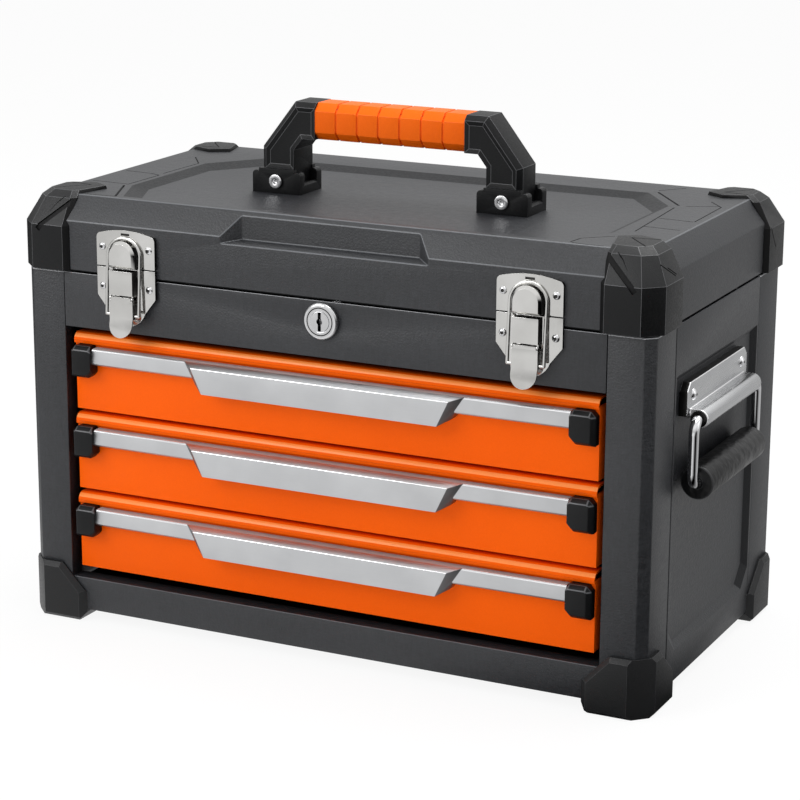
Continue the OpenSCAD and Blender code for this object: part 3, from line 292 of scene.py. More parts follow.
def addBump(tree, shader, height, depth, strength, under=None):
    bump = tree.nodes.new("ShaderNodeBump")
    bump.inputs["Distance"].default_value = depth
    bump.inputs["Strength"].default_value = strength
    tree.links.new(height, bump.inputs["Height"])
    if under is not None:
        tree.links.new(under, bump.inputs["Normal"])
    tree.links.new(bump.outputs["Normal"], shader.inputs["Normal"])
    return bump.outputs["Normal"]


def grainedCoat(name, deep, light, roughLow, roughHigh, grain, depth, sheen, woven=False):
    # paint or plastic: cloudy tint, fine grain, uneven gloss; a woven one has crossed streaks
    finish, tree, shader, coords = newFinish(name)
    cloud = addNoise(tree, coords, 9, 4)
    speck = addNoise(tree, coords, grain * 0.7, 2)
    if woven:
        level = addNoise(tree, coords, grain * 0.25, 2, 0.6, (1, 1, 5))
        upright = addNoise(tree, coords, grain * 0.25, 2, 0.6, (5, 5, 1))
        cross = tree.nodes.new("ShaderNodeMix")
        tree.links.new(level, cross.inputs["A"])
        tree.links.new(upright, cross.inputs["B"])
        speck = cross.outputs["Result"]
    both = tree.nodes.new("ShaderNodeMath")
    both.operation = "ADD"
    tree.links.new(addSpan(tree, cloud, 0.0, 0.3 if woven else 0.6), both.inputs[0])
    tree.links.new(addSpan(tree, speck, 0.0, 0.7 if woven else 0.4), both.inputs[1])
    tree.links.new(addTint(tree, both.outputs[0], deep, light), shader.inputs["Base Color"])
    tree.links.new(addSpan(tree, speck, roughLow, roughHigh), shader.inputs["Roughness"])
    pebble = addCells(tree, coords, grain)
    fine = addBump(tree, shader, pebble, depth, 0.55)
    addBump(tree, shader, addNoise(tree, coords, grain * 1.9, 2), depth * 0.6, 0.5, fine)
    shader.inputs["Specular IOR Level"].default_value = sheen
    return finish


def brightMetal(name, tone, toneTwo, rough, stretch, scale, depth, metallic=1.0):
    # plated or extruded metal with fine drawn lines
    finish, tree, shader, coords = newFinish(name)
    lines = addNoise(tree, coords, scale, 3, 0.6, stretch)
    cloud = addNoise(tree, coords, 30, 3)
    tree.links.new(addTint(tree, addSpan(tree, cloud, 0, 1), tone, toneTwo), shader.inputs["Base Color"])
    tree.links.new(addSpan(tree, lines, rough * 0.8, rough * 1.25), shader.inputs["Roughness"])
    addBump(tree, shader, lines, depth, 0.4)
    shader.inputs["Metallic"].default_value = metallic
    return finish


bodyCoat = grainedCoat("bodyCoat", (0.0060, 0.0066, 0.0082), (0.0240, 0.0256, 0.0296),
                       0.38, 0.52, 620, 0.00025, 0.50, True)
# painted highlight: a lighter copy of the coat for the upper softened edges
bodyEdgeHighlight = grainedCoat("bodyCoatEdgeHighlight", (0.070, 0.074, 0.082), (0.100, 0.105, 0.114),
                       0.32, 0.44, 620, 0.00010, 0.5)
# painted shade for the grooves cut into the coat
bodyGrooveShade = grainedCoat("bodyCoatGrooveShade", (0.003, 0.0033, 0.0038), (0.005, 0.0053, 0.006),
                         0.5, 0.6, 620, 0.00010, 0.12)
bodyShade = grainedCoat("bodyCoatShade", (0.006, 0.0065, 0.0075), (0.010, 0.0105, 0.012),
                        0.45, 0.55, 620, 0.00020, 0.2)
# painted highlight for the body's upper edges under the lid, which lie in the lid's shade
bodyRimHighlight = grainedCoat("bodyCoatRimHighlight", (0.30, 0.305, 0.32), (0.38, 0.385, 0.40),
                      0.30, 0.40, 620, 0.00005, 0.5)
innerCoat = grainedCoat("innerCoat", (0.022, 0.023, 0.026), (0.030, 0.032, 0.035),
                        0.5, 0.62, 900, 0.00008, 0.3)
orangeCoat = grainedCoat("orangeCoat", (0.84, 0.098, 0.001), (0.92, 0.118, 0.0015),
                         0.34, 0.42, 1500, 0.00003, 0.06)
# painted highlight for the upper softened edges of the drawer fronts
orangeEdgeHighlight = grainedCoat("orangeCoatEdgeHighlight", (0.95, 0.135, 0.008), (0.98, 0.165, 0.012),
                         0.26, 0.34, 1500, 0.00003, 0.4)
blackMoulding = grainedCoat("blackMoulding", (0.0034, 0.0036, 0.0040), (0.0060, 0.0063, 0.0069),
                            0.36, 0.50, 1100, 0.00012, 0.20)
footMoulding = grainedCoat("footMoulding", (0.0085, 0.0088, 0.0094), (0.0125, 0.0128, 0.0135),
                           0.38, 0.50, 1100, 0.00012, 0.26)
# painted light: the upward slopes of the guards are lighter, as if lit from above
blackLitSlope = grainedCoat("blackMouldingLitSlope", (0.0085, 0.0088, 0.0095), (0.0140, 0.0144, 0.0152),
                         0.36, 0.48, 1100, 0.00012, 0.24)
# painted highlight for the softened edges of the black mouldings
blackEdgeHighlight = grainedCoat("blackMouldingEdgeHighlight", (0.055, 0.056, 0.060), (0.080, 0.081, 0.086),
                        0.28, 0.40, 1100, 0.00006, 0.5)
# painted shade for cuts in black parts and the lock, and for the guards' flanks
blackPaintedShade = grainedCoat("blackMouldingPaintedShade", (0.0018, 0.0018, 0.002), (0.0030, 0.0030, 0.0034),
                          0.5, 0.6, 1100, 0.00006, 0.15)
# painted highlight for the softened edges of the side grips
blackRubberEdgeHighlight = grainedCoat("blackRubberEdgeHighlight", (0.020, 0.0205, 0.022), (0.030, 0.0305, 0.032),
                              0.36, 0.46, 1500, 0.00006, 0.4)
gripRubber = grainedCoat("gripRubber", (0.0030, 0.0031, 0.0034), (0.0052, 0.0053, 0.0058),
                         0.32, 0.46, 190, 0.0007, 0.28)
orangeRubber = grainedCoat("orangeRubber", (0.86, 0.115, 0.001), (0.94, 0.145, 0.002),
                           0.36, 0.46, 1300, 0.00010, 0.12)
# painted highlight for the softened edges of the handle's sleeve
orangeRubberEdgeHighlight = grainedCoat("orangeRubberEdgeHighlight", (0.92, 0.15, 0.010), (0.96, 0.18, 0.015),
                               0.34, 0.42, 1300, 0.00006, 0.35)
# painted shade for cuts in orange parts
orangeGrooveShade = grainedCoat("orangeRubberGrooveShade", (0.42, 0.036, 0.001), (0.50, 0.048, 0.002),
                           0.45, 0.55, 1300, 0.00006, 0.2)
aluminium = brightMetal("drawnAluminium", (0.50, 0.505, 0.515), (0.56, 0.565, 0.575),
                        0.38, (1, 40, 40), 60, 0.00005)
aluminiumDark = brightMetal("drawnAluminiumShade", (0.20, 0.20, 0.205), (0.26, 0.26, 0.265),
                            0.42, (1, 40, 40), 60, 0.00005)
# painted highlight for the softened edges of the pulls and the side plates
aluminiumEdgeHighlight = brightMetal("drawnAluminiumEdgeHighlight", (0.90, 0.90, 0.91), (0.95, 0.95, 0.96),
                            0.22, (1, 40, 40), 60, 0.00002)
# painted shade: a darker, duller copy of the aluminium for the flat top of each pull
aluminiumTopShade = brightMetal("drawnAluminiumTopShade", (0.36, 0.365, 0.375), (0.42, 0.425, 0.435),
                           0.50, (1, 40, 40), 60, 0.00005, 0.15)
# painted highlight: a bright band along the roll of each drawer front
orangeRollHighlight = grainedCoat("orangeCoatRollHighlight", (0.98, 0.25, 0.045), (1.0, 0.29, 0.060),
                          0.26, 0.34, 1500, 0.00002, 0.3)
lockSatin = brightMetal("lockSatin", (0.50, 0.50, 0.505), (0.58, 0.58, 0.585),
                        0.30, (1, 1, 1), 200, 0.00003)
nickel = brightMetal("nickelPlate", (0.48, 0.475, 0.46), (0.60, 0.595, 0.58),
                     0.12, (1, 1, 1), 260, 0.00005)
# painted highlight for the softened edges of the latch metal
nickelEdgeHighlight = brightMetal("nickelPlateEdgeHighlight", (0.88, 0.87, 0.85), (0.94, 0.93, 0.92),
                         0.10, (1, 1, 1), 260, 0.00002)
# painted shade for holes, hollows, slots and the shaded rims and turned edges of metal parts
nickelPaintedShade = brightMetal("nickelPlatePaintedShade", (0.035, 0.034, 0.033), (0.055, 0.054, 0.052),
                         0.35, (1, 1, 1), 260, 0.00002)
chrome = brightMetal("chromePlate", (0.62, 0.62, 0.63), (0.72, 0.72, 0.73),
                     0.10, (1, 1, 1), 200, 0.00002)
satinSteel = brightMetal("satinSteel", (0.50, 0.505, 0.515), (0.56, 0.565, 0.57),
                         0.27, (1, 0.02, 1), 700, 0.000002)
print("finishes ready")


softened = {
    # node: (piece, bevel, segments, finish, painted edge highlight, slot), with the bevel in metres
    "header_panel": ("headerPanel", 0.0007, 2, bodyCoat, bodyEdgeHighlight, "body_paint"),
    "base_pan": ("basePan", 0.0007, 2, bodyCoat, bodyEdgeHighlight, "body_paint"),
    "back_panel": ("backPanel", 0.0010, 2, bodyCoat, bodyEdgeHighlight, "body_paint"),
    "side_panel_left": ("sidePanelLeft", 0.0006, 2, bodyCoat, bodyEdgeHighlight, "body_paint"),
    "side_panel_right": ("sidePanelRight", 0.0006, 2, bodyCoat, bodyEdgeHighlight, "body_paint"),
    "front_post_left": ("frontPostLeft", 0.0008, 2, bodyCoat, bodyEdgeHighlight, "body_paint"),
    "front_post_right": ("frontPostRight", 0.0008, 2, bodyCoat, bodyEdgeHighlight, "body_paint"),
    "rear_post_left": ("rearPostLeft", 0.0008, 2, bodyCoat, bodyEdgeHighlight, "body_paint"),
    "rear_post_right": ("rearPostRight", 0.0008, 2, bodyCoat, bodyEdgeHighlight, "body_paint"),
    "lid_shell": ("lidShell", 0.0008, 3, bodyCoat, bodyEdgeHighlight, "body_paint"),
    "foot_front_left": ("footFrontLeft", 0.0012, 3, footMoulding, blackEdgeHighlight, "corner_plastic"),
    "foot_front_right": ("footFrontRight", 0.0012, 3, footMoulding, blackEdgeHighlight, "corner_plastic"),
    "foot_rear_left": ("footRearLeft", 0.0012, 3, footMoulding, blackEdgeHighlight, "corner_plastic"),
    "foot_rear_right": ("footRearRight", 0.0012, 3, footMoulding, blackEdgeHighlight, "corner_plastic"),
    "lid_corner_front_left": ("guardFrontLeft", 0.0010, 3, blackMoulding, blackEdgeHighlight, "corner_plastic"),
    "lid_corner_front_right": ("guardFrontRight", 0.0010, 3, blackMoulding, blackEdgeHighlight, "corner_plastic"),
    "lid_corner_rear_left": ("guardRearLeft", 0.0010, 3, blackMoulding, blackEdgeHighlight, "corner_plastic"),
    "lid_corner_rear_right": ("guardRearRight", 0.0010, 3, blackMoulding, blackEdgeHighlight, "corner_plastic"),
    "handle_brackets": ("handleBrackets", 0.0008, 3, blackMoulding, blackEdgeHighlight, "corner_plastic"),
    "handle_frame": ("handleFrame", 0.0010, 3, blackMoulding, blackEdgeHighlight, "corner_plastic"),
    "handle_grip": ("handleGrip", 0.0005, 2, orangeRubber, orangeRubberEdgeHighlight, "orange_grip"),
    "handle_bolts": ("handleBolts", 0.0008, 3, chrome, chrome, "bright_metal"),
    "body_rivets": ("bodyRivets", 0.0002, 2, chrome, chrome, "bright_metal"),
    "lid_rivets": ("lidRivets", 0.0002, 2, chrome, chrome, "bright_metal"),
    "side_grip_left": ("sideGripLeft", 0.0012, 3, gripRubber, blackRubberEdgeHighlight, "black_rubber"),
    "side_grip_right": ("sideGripRight", 0.0012, 3, gripRubber, blackRubberEdgeHighlight, "black_rubber"),
    "latch_bases": ("latchBases", 0.0004, 2, nickel, nickelEdgeHighlight, "nickel_plate"),
    "latch_keepers": ("latchKeepers", 0.0005, 3, nickel, nickelEdgeHighlight, "nickel_plate"),
    "latch_lever_left": ("latchLeverLeft", 0.0004, 2, nickel, nickelEdgeHighlight, "nickel_plate"),
    "latch_lever_right": ("latchLeverRight", 0.0004, 2, nickel, nickelEdgeHighlight, "nickel_plate"),
    "lock_housing": ("lockHousing", 0.0013, 4, lockSatin, chrome, "bright_metal"),
    "lock_plug": ("lockPlug", 0.0003, 2, lockSatin, chrome, "bright_metal"),
    "side_plate_left": ("sidePlateLeft", 0.0006, 3, satinSteel, aluminiumEdgeHighlight, "satin_steel"),
    "side_plate_right": ("sidePlateRight", 0.0006, 3, satinSteel, aluminiumEdgeHighlight, "satin_steel"),
}
for n in (1, 2, 3):
    softened[f"drawer_{n}_front"] = (f"drawerFront{n}", 0.0007, 2, orangeCoat, orangeEdgeHighlight, "orange_paint")
    softened[f"drawer_{n}_pull"] = (f"drawerPull{n}", 0.0007, 2, aluminium, aluminiumEdgeHighlight, "satin_aluminium")
    softened[f"drawer_{n}_caps"] = (f"pullCaps{n}", 0.0006, 2, blackMoulding, blackEdgeHighlight, "corner_plastic")

frontY, backY, halfW, lidTop = -0.13485, 0.14215, 0.254, 0.3342

lidLines = {
    # engraved lines on the lid, as paths of x and y in millimetres
    "width": 0.0011,
    "heavyWidth": 0.0019,
    "fine": [
        [(169, 96), (184, 115)], [(209.6, 45), (231, 56)], [(220.5, 70), (234, 53), (235.3, -9)],
        [(208, -7), (219, -8), (234.3, -9.4)], [(208, -40.5), (236, -42.6)],
        [(183, -115), (185, -100), (203, -83)], [(185, -117), (196, -118.6), (209, -118.4)],
        [(209.5, -60), (203.5, 36)],
        [(-236, -66), (-203, -67.7), (-202.6, -23.4), (-211.7, -19.2), (-236, -17.3)],
        [(-203.6, -15), (-202.4, 37.7), (-219.2, 61.4)], [(-186, -115.2), (-210, -117.5)],
    ],
    "heavy": [[(171.5, 89), (203.5, 45.5)], [(-203, -74), (-185, -115.2)]],
}
guardLines = {
    # on a guard, from its outer corner inwards; the grooves on the faces are in world millimetres
    "width": 0.0013,
    "top": [(15.5, 18), (34, 41), (14, 43.5)],
    "frontSlope": [(215, -127.7, 330.6), (237.0, -138.85, 312.2)],
    "frontFace": [(236.6, -138.85, 312.4), (239.2, -138.85, 309.2)],
    "frontCrack": [(222.3, -126.0, 332.6), (227.6, -129.3, 328.1), (231.9, -133.0, 322.3)],
    "sideCrack": [(249.3, -128.0, 330.0), (256.3, -104.4, 315.6)],
    "sideCrackTwo": [(253.2, -111.6, 322.0), (256.2, -101.8, 316.2)],
    "rearCrack": [(258, 99.7, 313.8), (258, 113.5, 296)],
    "diagonal": (0.0042, 0.0011),        # width and depth
    "frontCrackWidth": 0.0009,
    "sideCrackWidth": 0.0012,
    "rearCrackWidth": 0.0011,
    "topZ": 0.3367,
    "slopeNormal": (0, -0.852, 0.524),
    "sideNormal": (0.899, 0, 0.438),     # on the right guard
}


def engraveLid(piece):
    cutters = []
    for kind, width in (("fine", lidLines["width"]), ("heavy", lidLines["heavyWidth"])):
        for path in lidLines[kind]:
            points = [(x / 1000, y / 1000, lidTop) for x, y in path]
            cutters += addPath(points, width, 0, (0, 0, 1))
    cutWith(piece, cutters)
    return shadeGapUnderLid(piece)


def engraveGuard(side, front):
    # side is 1 on the right and -1 on the left
    def cut(piece):
        def spots(name):
            return [Vector((x * side, y, z)) / 1000 for x, y, z in guardLines[name]]
        startY = frontY if front else backY
        into = 1 if front else -1
        top = [(side * (halfW - x / 1000), startY + into * y / 1000, guardLines["topZ"])
               for x, y in guardLines["top"]]
        cutters = addPath(top, guardLines["width"], 0, (0, 0, 1))
        if front:
            slope = guardLines["slopeNormal"]
            x, y, z = guardLines["sideNormal"]
            outward = (x * side, y, z)
            cutters.append(addBar(*spots("frontSlope"), *guardLines["diagonal"], slope))
            cutters.append(addBar(*spots("frontFace"), *guardLines["diagonal"], (0, -1, 0)))
            cutters += addPath(spots("frontCrack"), guardLines["frontCrackWidth"], 0, slope)
            cutters += addPath(spots("sideCrack"), guardLines["sideCrackWidth"], 0, outward)
            cutters += addPath(spots("sideCrackTwo"), guardLines["sideCrackWidth"], 0, outward)
        else:
            cutters += addPath(spots("rearCrack"), guardLines["rearCrackWidth"], 0, (side, 0, 0))
        cutWith(piece, cutters)
        return giveFinish(piece, shadeFlanks(side, front))
    return cut


armPanel = {"above": 0.353, "border": 0.0034, "depth": 0.0011}


def sinkArmPanels(piece):
    # the flat fronts and backs of both arms are recessed inside a rim
    def test(middle, normal):
        return abs(normal.y) > 0.99 and middle.z > armPanel["above"]
    return sinkFaces(piece, test, armPanel["border"], armPanel["depth"])


def mergeSteps(piece):
    # steps of a few hundredths of a millimetre would keep the edges from being rounded
    return mergePoints(piece, mergeSkin)


cutCorner = 0.0072          # metres, x and z together; the slanting cut takes 5 mm off each corner


def fillCorners(piece):
    # the roll on a drawer front runs to both ends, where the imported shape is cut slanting
    points = piece.data.vertices
    half = max(v.co.x for v in points)
    top = max(v.co.z for v in points)
    for v in points:
        if abs(v.co.x) + v.co.z > half + top - cutCorner:
            v.co.x = math.copysign(half, v.co.x)
    return piece


lidRecess = {"halfX": 0.208, "halfY": 0.1, "bottom": 0.3300, "top": 0.3341}
rimHighlightAbove = 0.2755       # metres
lipEndsWithin = 0.128       # metres from the middle of a pull
lidEdgesAbove = 0.32        # metres


def onRecessSlope(middle, normal):
    # the slopes of the lid's recess, but for the front one
    inside = abs(middle.x) < lidRecess["halfX"] and abs(middle.y) < lidRecess["halfY"]
    sunk = lidRecess["bottom"] < middle.z < lidRecess["top"]
    return inside and sunk and 0.5 < normal.z < 0.98 and normal.y < 0.3


def onPanelStep(middle, normal):
    # the step at the rear of a side panel
    return normal.y < -0.12 and abs(normal.x) < 0.99


def onRimHighlight(middle, normal):
    # softened upper edges of the body, right under the lid, which get painted highlight
    return middle.z > rimHighlightAbove and 0.2 < normal.z < 0.98


# the upward slopes of a guard, which get painted light
def onLitGuardSlope(middle, normal):
    return 0.25 < normal.z < 0.97


# the flat top of a pull, which gets painted shade
def onPullTop(middle, normal):
    return normal.z > 0.955


def onLipEnd(middle, normal):
    # the slanted ends of the middle lip of a pull
    return abs(normal.x) > 0.3 and abs(middle.x) < lipEndsWithin


def onRollBand(middle, normal):
    # the painted highlight band along the roll of a drawer front
    return 0.42 < normal.z < 0.80 and normal.y < -0.3


def onTurnedEdge(middle, normal):
    # the turned sides and lower edges of the latch metal, which get painted shade
    return abs(normal.x) > 0.75 or normal.z < -0.75


gripNotch = {"sections": 7, "length": 0.124, "middleY": -0.01285, "reach": 0.0135, "bottom": 0.3732,
             "long": 0.004, "wide": 0.0022, "deep": 0.0012}


def notchGrip(piece):
    # small notches on the underside, under every groove of the sleeve, their faces in painted shade
    cutters = []
    z = gripNotch["bottom"]
    for n in range(1, gripNotch["sections"]):
        x = (n / gripNotch["sections"] - 0.5) * gripNotch["length"]
        for side in (-1, 1):
            y = gripNotch["middleY"] + side * gripNotch["reach"]
            start, end = (x, y, z), (x, y - side * gripNotch["long"], z)
            cutters.append(addBar(start, end, gripNotch["wide"], gripNotch["deep"], (0, 0, -1)))
    return cutWith(piece, cutters)


def shadeFlanks(side, front):
    # the ends of a guard, where it stops on the lid's front and side, get painted shade
    def test(middle, normal):
        alongX = normal.x * side < -0.45 and abs(normal.z) < 0.6
        alongY = normal.y * (1 if front else -1) > 0.45 and abs(normal.z) < 0.6
        return alongX or alongY
    return test


lidRebate = {"bottom": 0.2782, "wide": 0.0022, "deep": 0.0010}


def shadeGapUnderLid(piece):
    # a rebate round the lower rim of the lid, its faces in painted shade, so that the joint reads as a deep
    # line
    left, right, front, back = -halfW, halfW, frontY, backY
    z = lidRebate["bottom"]
    sides = [((left, front, z), (right, front, z)), ((right, front, z), (right, back, z)),
             ((left, front, z), (left, back, z)), ((left, back, z), (right, back, z))]
    cutters = [addBar(a, b, lidRebate["wide"], lidRebate["deep"], (0, 0, 1)) for a, b in sides]
    return cutWith(piece, cutters)


sideBarrel = {"x": 0.2635, "y": -0.00585, "z": 0.205, "reach": 0.059, "radius": 0.0060, "depth": 0.005}
plateRim = {"above": 0.2065, "within": 0.2561}


def onPlateRim(middle, normal):
    return abs(normal.x) < 0.3 and middle.z > plateRim["above"] and abs(middle.x) < plateRim["within"]


def hollowBarrel(side):
    # the rolled barrel of a side plate is hollow at both ends; the hollows and the plate's rim get painted
    # shade
    def cut(piece):
        giveFinish(piece, onPlateRim)
        cutters = []
        for end in (-1, 1):
            place = (side * sideBarrel["x"], sideBarrel["y"] + end * sideBarrel["reach"], sideBarrel["z"])
            bpy.ops.mesh.primitive_cylinder_add(vertices=48, radius=sideBarrel["radius"], location=place,
                                                depth=sideBarrel["depth"], rotation=(math.pi / 2, 0, 0))
            cutters.append(settle(bpy.context.object))
        return cutWith(piece, cutters)
    return cut


keyhole = {"place": (0.0, -0.1385, 0.2625), "radius": 0.0024, "slot": 0.0026, "height": 0.0124, "deep": 0.003}
bezelRing = {"face": -0.13885, "radius": 0.0101, "wire": 0.0004}
latchX = 0.163
keeperSlot = {"z": 0.3108, "out": 0.003, "long": 0.0062, "wide": 0.0018, "deep": 0.0009}


def slotKeepers(piece):
    # a narrow slot above each arch, its faces in painted shade
    cutters = []
    y, z, half = frontY - keeperSlot["out"], keeperSlot["z"], keeperSlot["long"] / 2
    for x in (-latchX, latchX):
        start, end = (x - half, y, z), (x + half, y, z)
        cutters.append(addBar(start, end, keeperSlot["wide"], keeperSlot["deep"], (0, -1, 0)))
    return cutWith(piece, cutters)


def shadeTurnedEdges(piece):
    return giveFinish(piece, onTurnedEdge)


def shadeLipEnds(piece):
    return giveFinish(piece, onLipEnd)


def cutKeyhole(piece):
    # a round hole with a slot above and below it, its faces in painted shade
    x, y, z = keyhole["place"]
    bpy.ops.mesh.primitive_cylinder_add(vertices=40, radius=keyhole["radius"], depth=2 * keyhole["deep"],
                                        rotation=(math.pi / 2, 0, 0), location=(x, y, z))
    cutters = [settle(bpy.context.object)]
    reach = keyhole["height"] / 2
    start, end = (x, y, z - reach), (x, y, z + reach)
    cutters.append(addBar(start, end, keyhole["slot"], keyhole["deep"], (0, -1, 0)))
    return cutWith(piece, cutters)


def ringBezel(piece):
    # a fine ring cut between the lock's bezel and its face, in painted shade
    x, y, z = keyhole["place"]
    bpy.ops.mesh.primitive_torus_add(major_radius=bezelRing["radius"], minor_radius=bezelRing["wire"],
                                     major_segments=96, minor_segments=8,
                                     location=(x, bezelRing["face"], z), rotation=(math.pi / 2, 0, 0))
    return cutWith(piece, [settle(bpy.context.object)])


rivets = {
    "latchOut": 0.0048, "latchReach": 0.020, "latchHole": 0.0013, "bodyZ": 0.2705, "lidZ": 0.3005,
    "sideX": 0.2591, "sideReach": 0.0525, "sideZ": 0.221, "sideHole": 0.0011, "deep": 0.0016,
}


def latchHeads(z):
    # place of each rivet's head, its outward direction and the radius of its hole
    y = frontY - rivets["latchOut"]
    return [(s * (latchX + d * rivets["latchReach"]), y, z, (0, -1, 0), rivets["latchHole"])
            for s in (-1, 1) for d in (-1, 1)]


def sideHeads():
    return [(s * rivets["sideX"], sideBarrel["y"] + d * rivets["sideReach"], rivets["sideZ"], (s, 0, 0),
             rivets["sideHole"]) for s in (-1, 1) for d in (-1, 1)]


def drillRivets(places):
    # hollow rivets: a small round hole in every head, its faces in painted shade
    def cut(piece):
        cutters = []
        for x, y, z, outward, radius in places:
            bpy.ops.mesh.primitive_cylinder_add(vertices=24, radius=radius, depth=rivets["deep"],
                                                location=(x, y, z))
            tool = bpy.context.object
            tool.rotation_euler = Vector(outward).to_track_quat("Z", "Y").to_euler()
            cutters.append(settle(tool))
        return cutWith(piece, cutters)
    return cut


shapeFirst = {"handle_frame": sinkArmPanels}
extraFinish = {
    # a fourth finish, of painted light or shade, the faces that get it, and whether softened edges keep their
    # painted highlight
    "lid_shell": (bodyShade, onRecessSlope, False),
    "side_panel_left": (bodyShade, onPanelStep, False),
    "side_panel_right": (bodyShade, onPanelStep, False),
    "header_panel": (bodyRimHighlight, onRimHighlight, False),
}
for corner in ("front_left", "front_right", "rear_left", "rear_right"):
    end, side = corner.split("_")
    extraFinish[f"{end}_post_{side}"] = (bodyRimHighlight, onRimHighlight, False)
    extraFinish[f"lid_corner_{corner}"] = (blackLitSlope, onLitGuardSlope, True)
for n in (1, 2, 3):
    shapeFirst[f"drawer_{n}_front"] = fillCorners
    shapeFirst[f"drawer_{n}_pull"] = mergeSteps
    shapeFirst[f"drawer_{n}_caps"] = mergeSteps
    extraFinish[f"drawer_{n}_front"] = (orangeRollHighlight, onRollBand, False)
    extraFinish[f"drawer_{n}_pull"] = (aluminiumTopShade, onPullTop, False)
cutAfter = {
    "lid_shell": engraveLid,
    "side_plate_left": hollowBarrel(-1),
    "side_plate_right": hollowBarrel(1),
    "lid_corner_front_left": engraveGuard(-1, True),
    "lid_corner_front_right": engraveGuard(1, True),
    "lid_corner_rear_left": engraveGuard(-1, False),
    "lid_corner_rear_right": engraveGuard(1, False),
    "handle_grip": notchGrip,
    "latch_keepers": lambda piece: shadeTurnedEdges(slotKeepers(piece)),
    "latch_bases": shadeTurnedEdges,
    "latch_lever_left": shadeTurnedEdges,
    "latch_lever_right": shadeTurnedEdges,
    "lock_plug": cutKeyhole,
    "lock_housing": ringBezel,
    "body_rivets": drillRivets(latchHeads(rivets["bodyZ"]) + sideHeads()),
    "lid_rivets": drillRivets(latchHeads(rivets["lidZ"])),
    "drawer_1_pull": shadeLipEnds,
    "drawer_2_pull": shadeLipEnds,
    "drawer_3_pull": shadeLipEnds,
}
bevelAngle = {"corner_plastic": 12}        # degrees; sharper edges than this are softened
otherBevelAngle = 25
gripSmooth = math.radians(52)              # the sleeve's facets are shaded as one soft round
keepBright = {
    # which softened edges keep the painted highlight: the upper ones on painted steel and on the drawn pulls
    "body_paint": lambda middle, normal:
        normal.z > 0.25 and (abs(normal.x) < 0.6 or middle.z > lidEdgesAbove),
    "orange_paint": lambda middle, normal: normal.z > 0.3,
    "satin_aluminium": lambda middle, normal: normal.z > 0.05 and normal.y < -0.2,
}
shadeFinishBySlot = {
    # painted shade for cut faces and shaded faces, by slot, and by node for the lock
    "orange_paint": orangeGrooveShade,
    "satin_aluminium": aluminiumDark,
    "satin_steel": nickelPaintedShade,
    "body_paint": bodyGrooveShade,
    "corner_plastic": blackPaintedShade,
    "orange_grip": orangeGrooveShade,
    "nickel_plate": nickelPaintedShade,
    "bright_metal": nickelPaintedShade,
    "black_rubber": blackPaintedShade,
    "lock_plug": blackPaintedShade,
    "lock_housing": blackPaintedShade,
}

bodyOf = {n: b for b, group in frame["record"]["behaviour"]["bodies"].items() for n in group}
for nodeName, (pieceName, bevel, segments, finish, edge, slotName) in softened.items():
    piece = copyNode(nodeName, pieceName)
    if nodeName in shapeFirst:
        shapeFirst[nodeName](piece)
    dress(piece, finish, edge, shadeFinishBySlot.get(nodeName, shadeFinishBySlot[slotName]))
    if nodeName in extraFinish:
        extra, chosen, keepEdges = extraFinish[nodeName]
        piece.data.materials.append(extra)
    roundEdges(piece, bevel, segments, bevelAngle.get(slotName, otherBevelAngle))
    if nodeName.endswith("_caps"):
        dullEdges(piece, lambda middle, normal: normal.z > 0.15 and normal.y < -0.2)
    elif slotName in keepBright:
        dullEdges(piece, keepBright[slotName])
    if nodeName in extraFinish:
        giveFinish(piece, chosen, paintedLightFinish, keepEdges)
    if nodeName in cutAfter:
        cutAfter[nodeName](piece)
    if slotName == "orange_grip":
        pickOnly(piece)
        bpy.ops.object.shade_smooth_by_angle(angle=gripSmooth)
    finishPiece(piece, bodyOf[nodeName], slotName, nodeName)
print("softened pieces:", len(softened))


slotFinish = {
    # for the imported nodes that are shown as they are
    "inner_steel": innerCoat,
    "nickel_plate": nickel,
    "bright_metal": chrome,
    "satin_steel": satinSteel,
}
slotOf = {row["node"]: row["material_slot"] for row in frame["record"]["subparts"]}
for nodeName, node in nodes.items():
    if nodeName not in softened:
        dress(node, slotFinish[slotOf[nodeName]])
print("packed nodes dressed")


studio = {
    "floorSize": 16.0,
    "floorDrop": 0.0002,        # below the feet
    "paper": 0.92,
    "floorGlow": 0.90,          # share of plain white in what the camera sees of the floor
    "skyLow": 0.24,             # light from the horizon
    "skyHigh": 0.85,            # light from straight above
    "mirrorLow": 0.60,          # the same two as seen in glossy surfaces
    "mirrorHigh": 1.15,
    "mirrorFront": 1.00,        # near the floor, seen in the front
    "mirrorSide": 0.60,         # near the floor, seen in the right side
    "mirrorAxis": (-0.439, -0.898, 0.0),      # towards the front's reflection; across it is dark
    "key": (27, 1.5, (-1.3, -1.8, 1.5)),      # watts, size, place
    "fill": (3, 1.2, (2.0, 0.5, 0.8)),
    "top": (34, 1.6, (0.3, 0.5, 2.1)),
}


def addLamp(name, watts, size, place, target=(0, 0, 0.17)):
    bpy.ops.object.light_add(type="AREA", location=place)
    lamp = bpy.context.object
    lamp.name = name
    lamp.data.energy = watts
    lamp.data.size = size
    aim = Vector(target) - Vector(place)
    lamp.rotation_euler = aim.to_track_quat("-Z", "Y").to_euler()
    return lamp


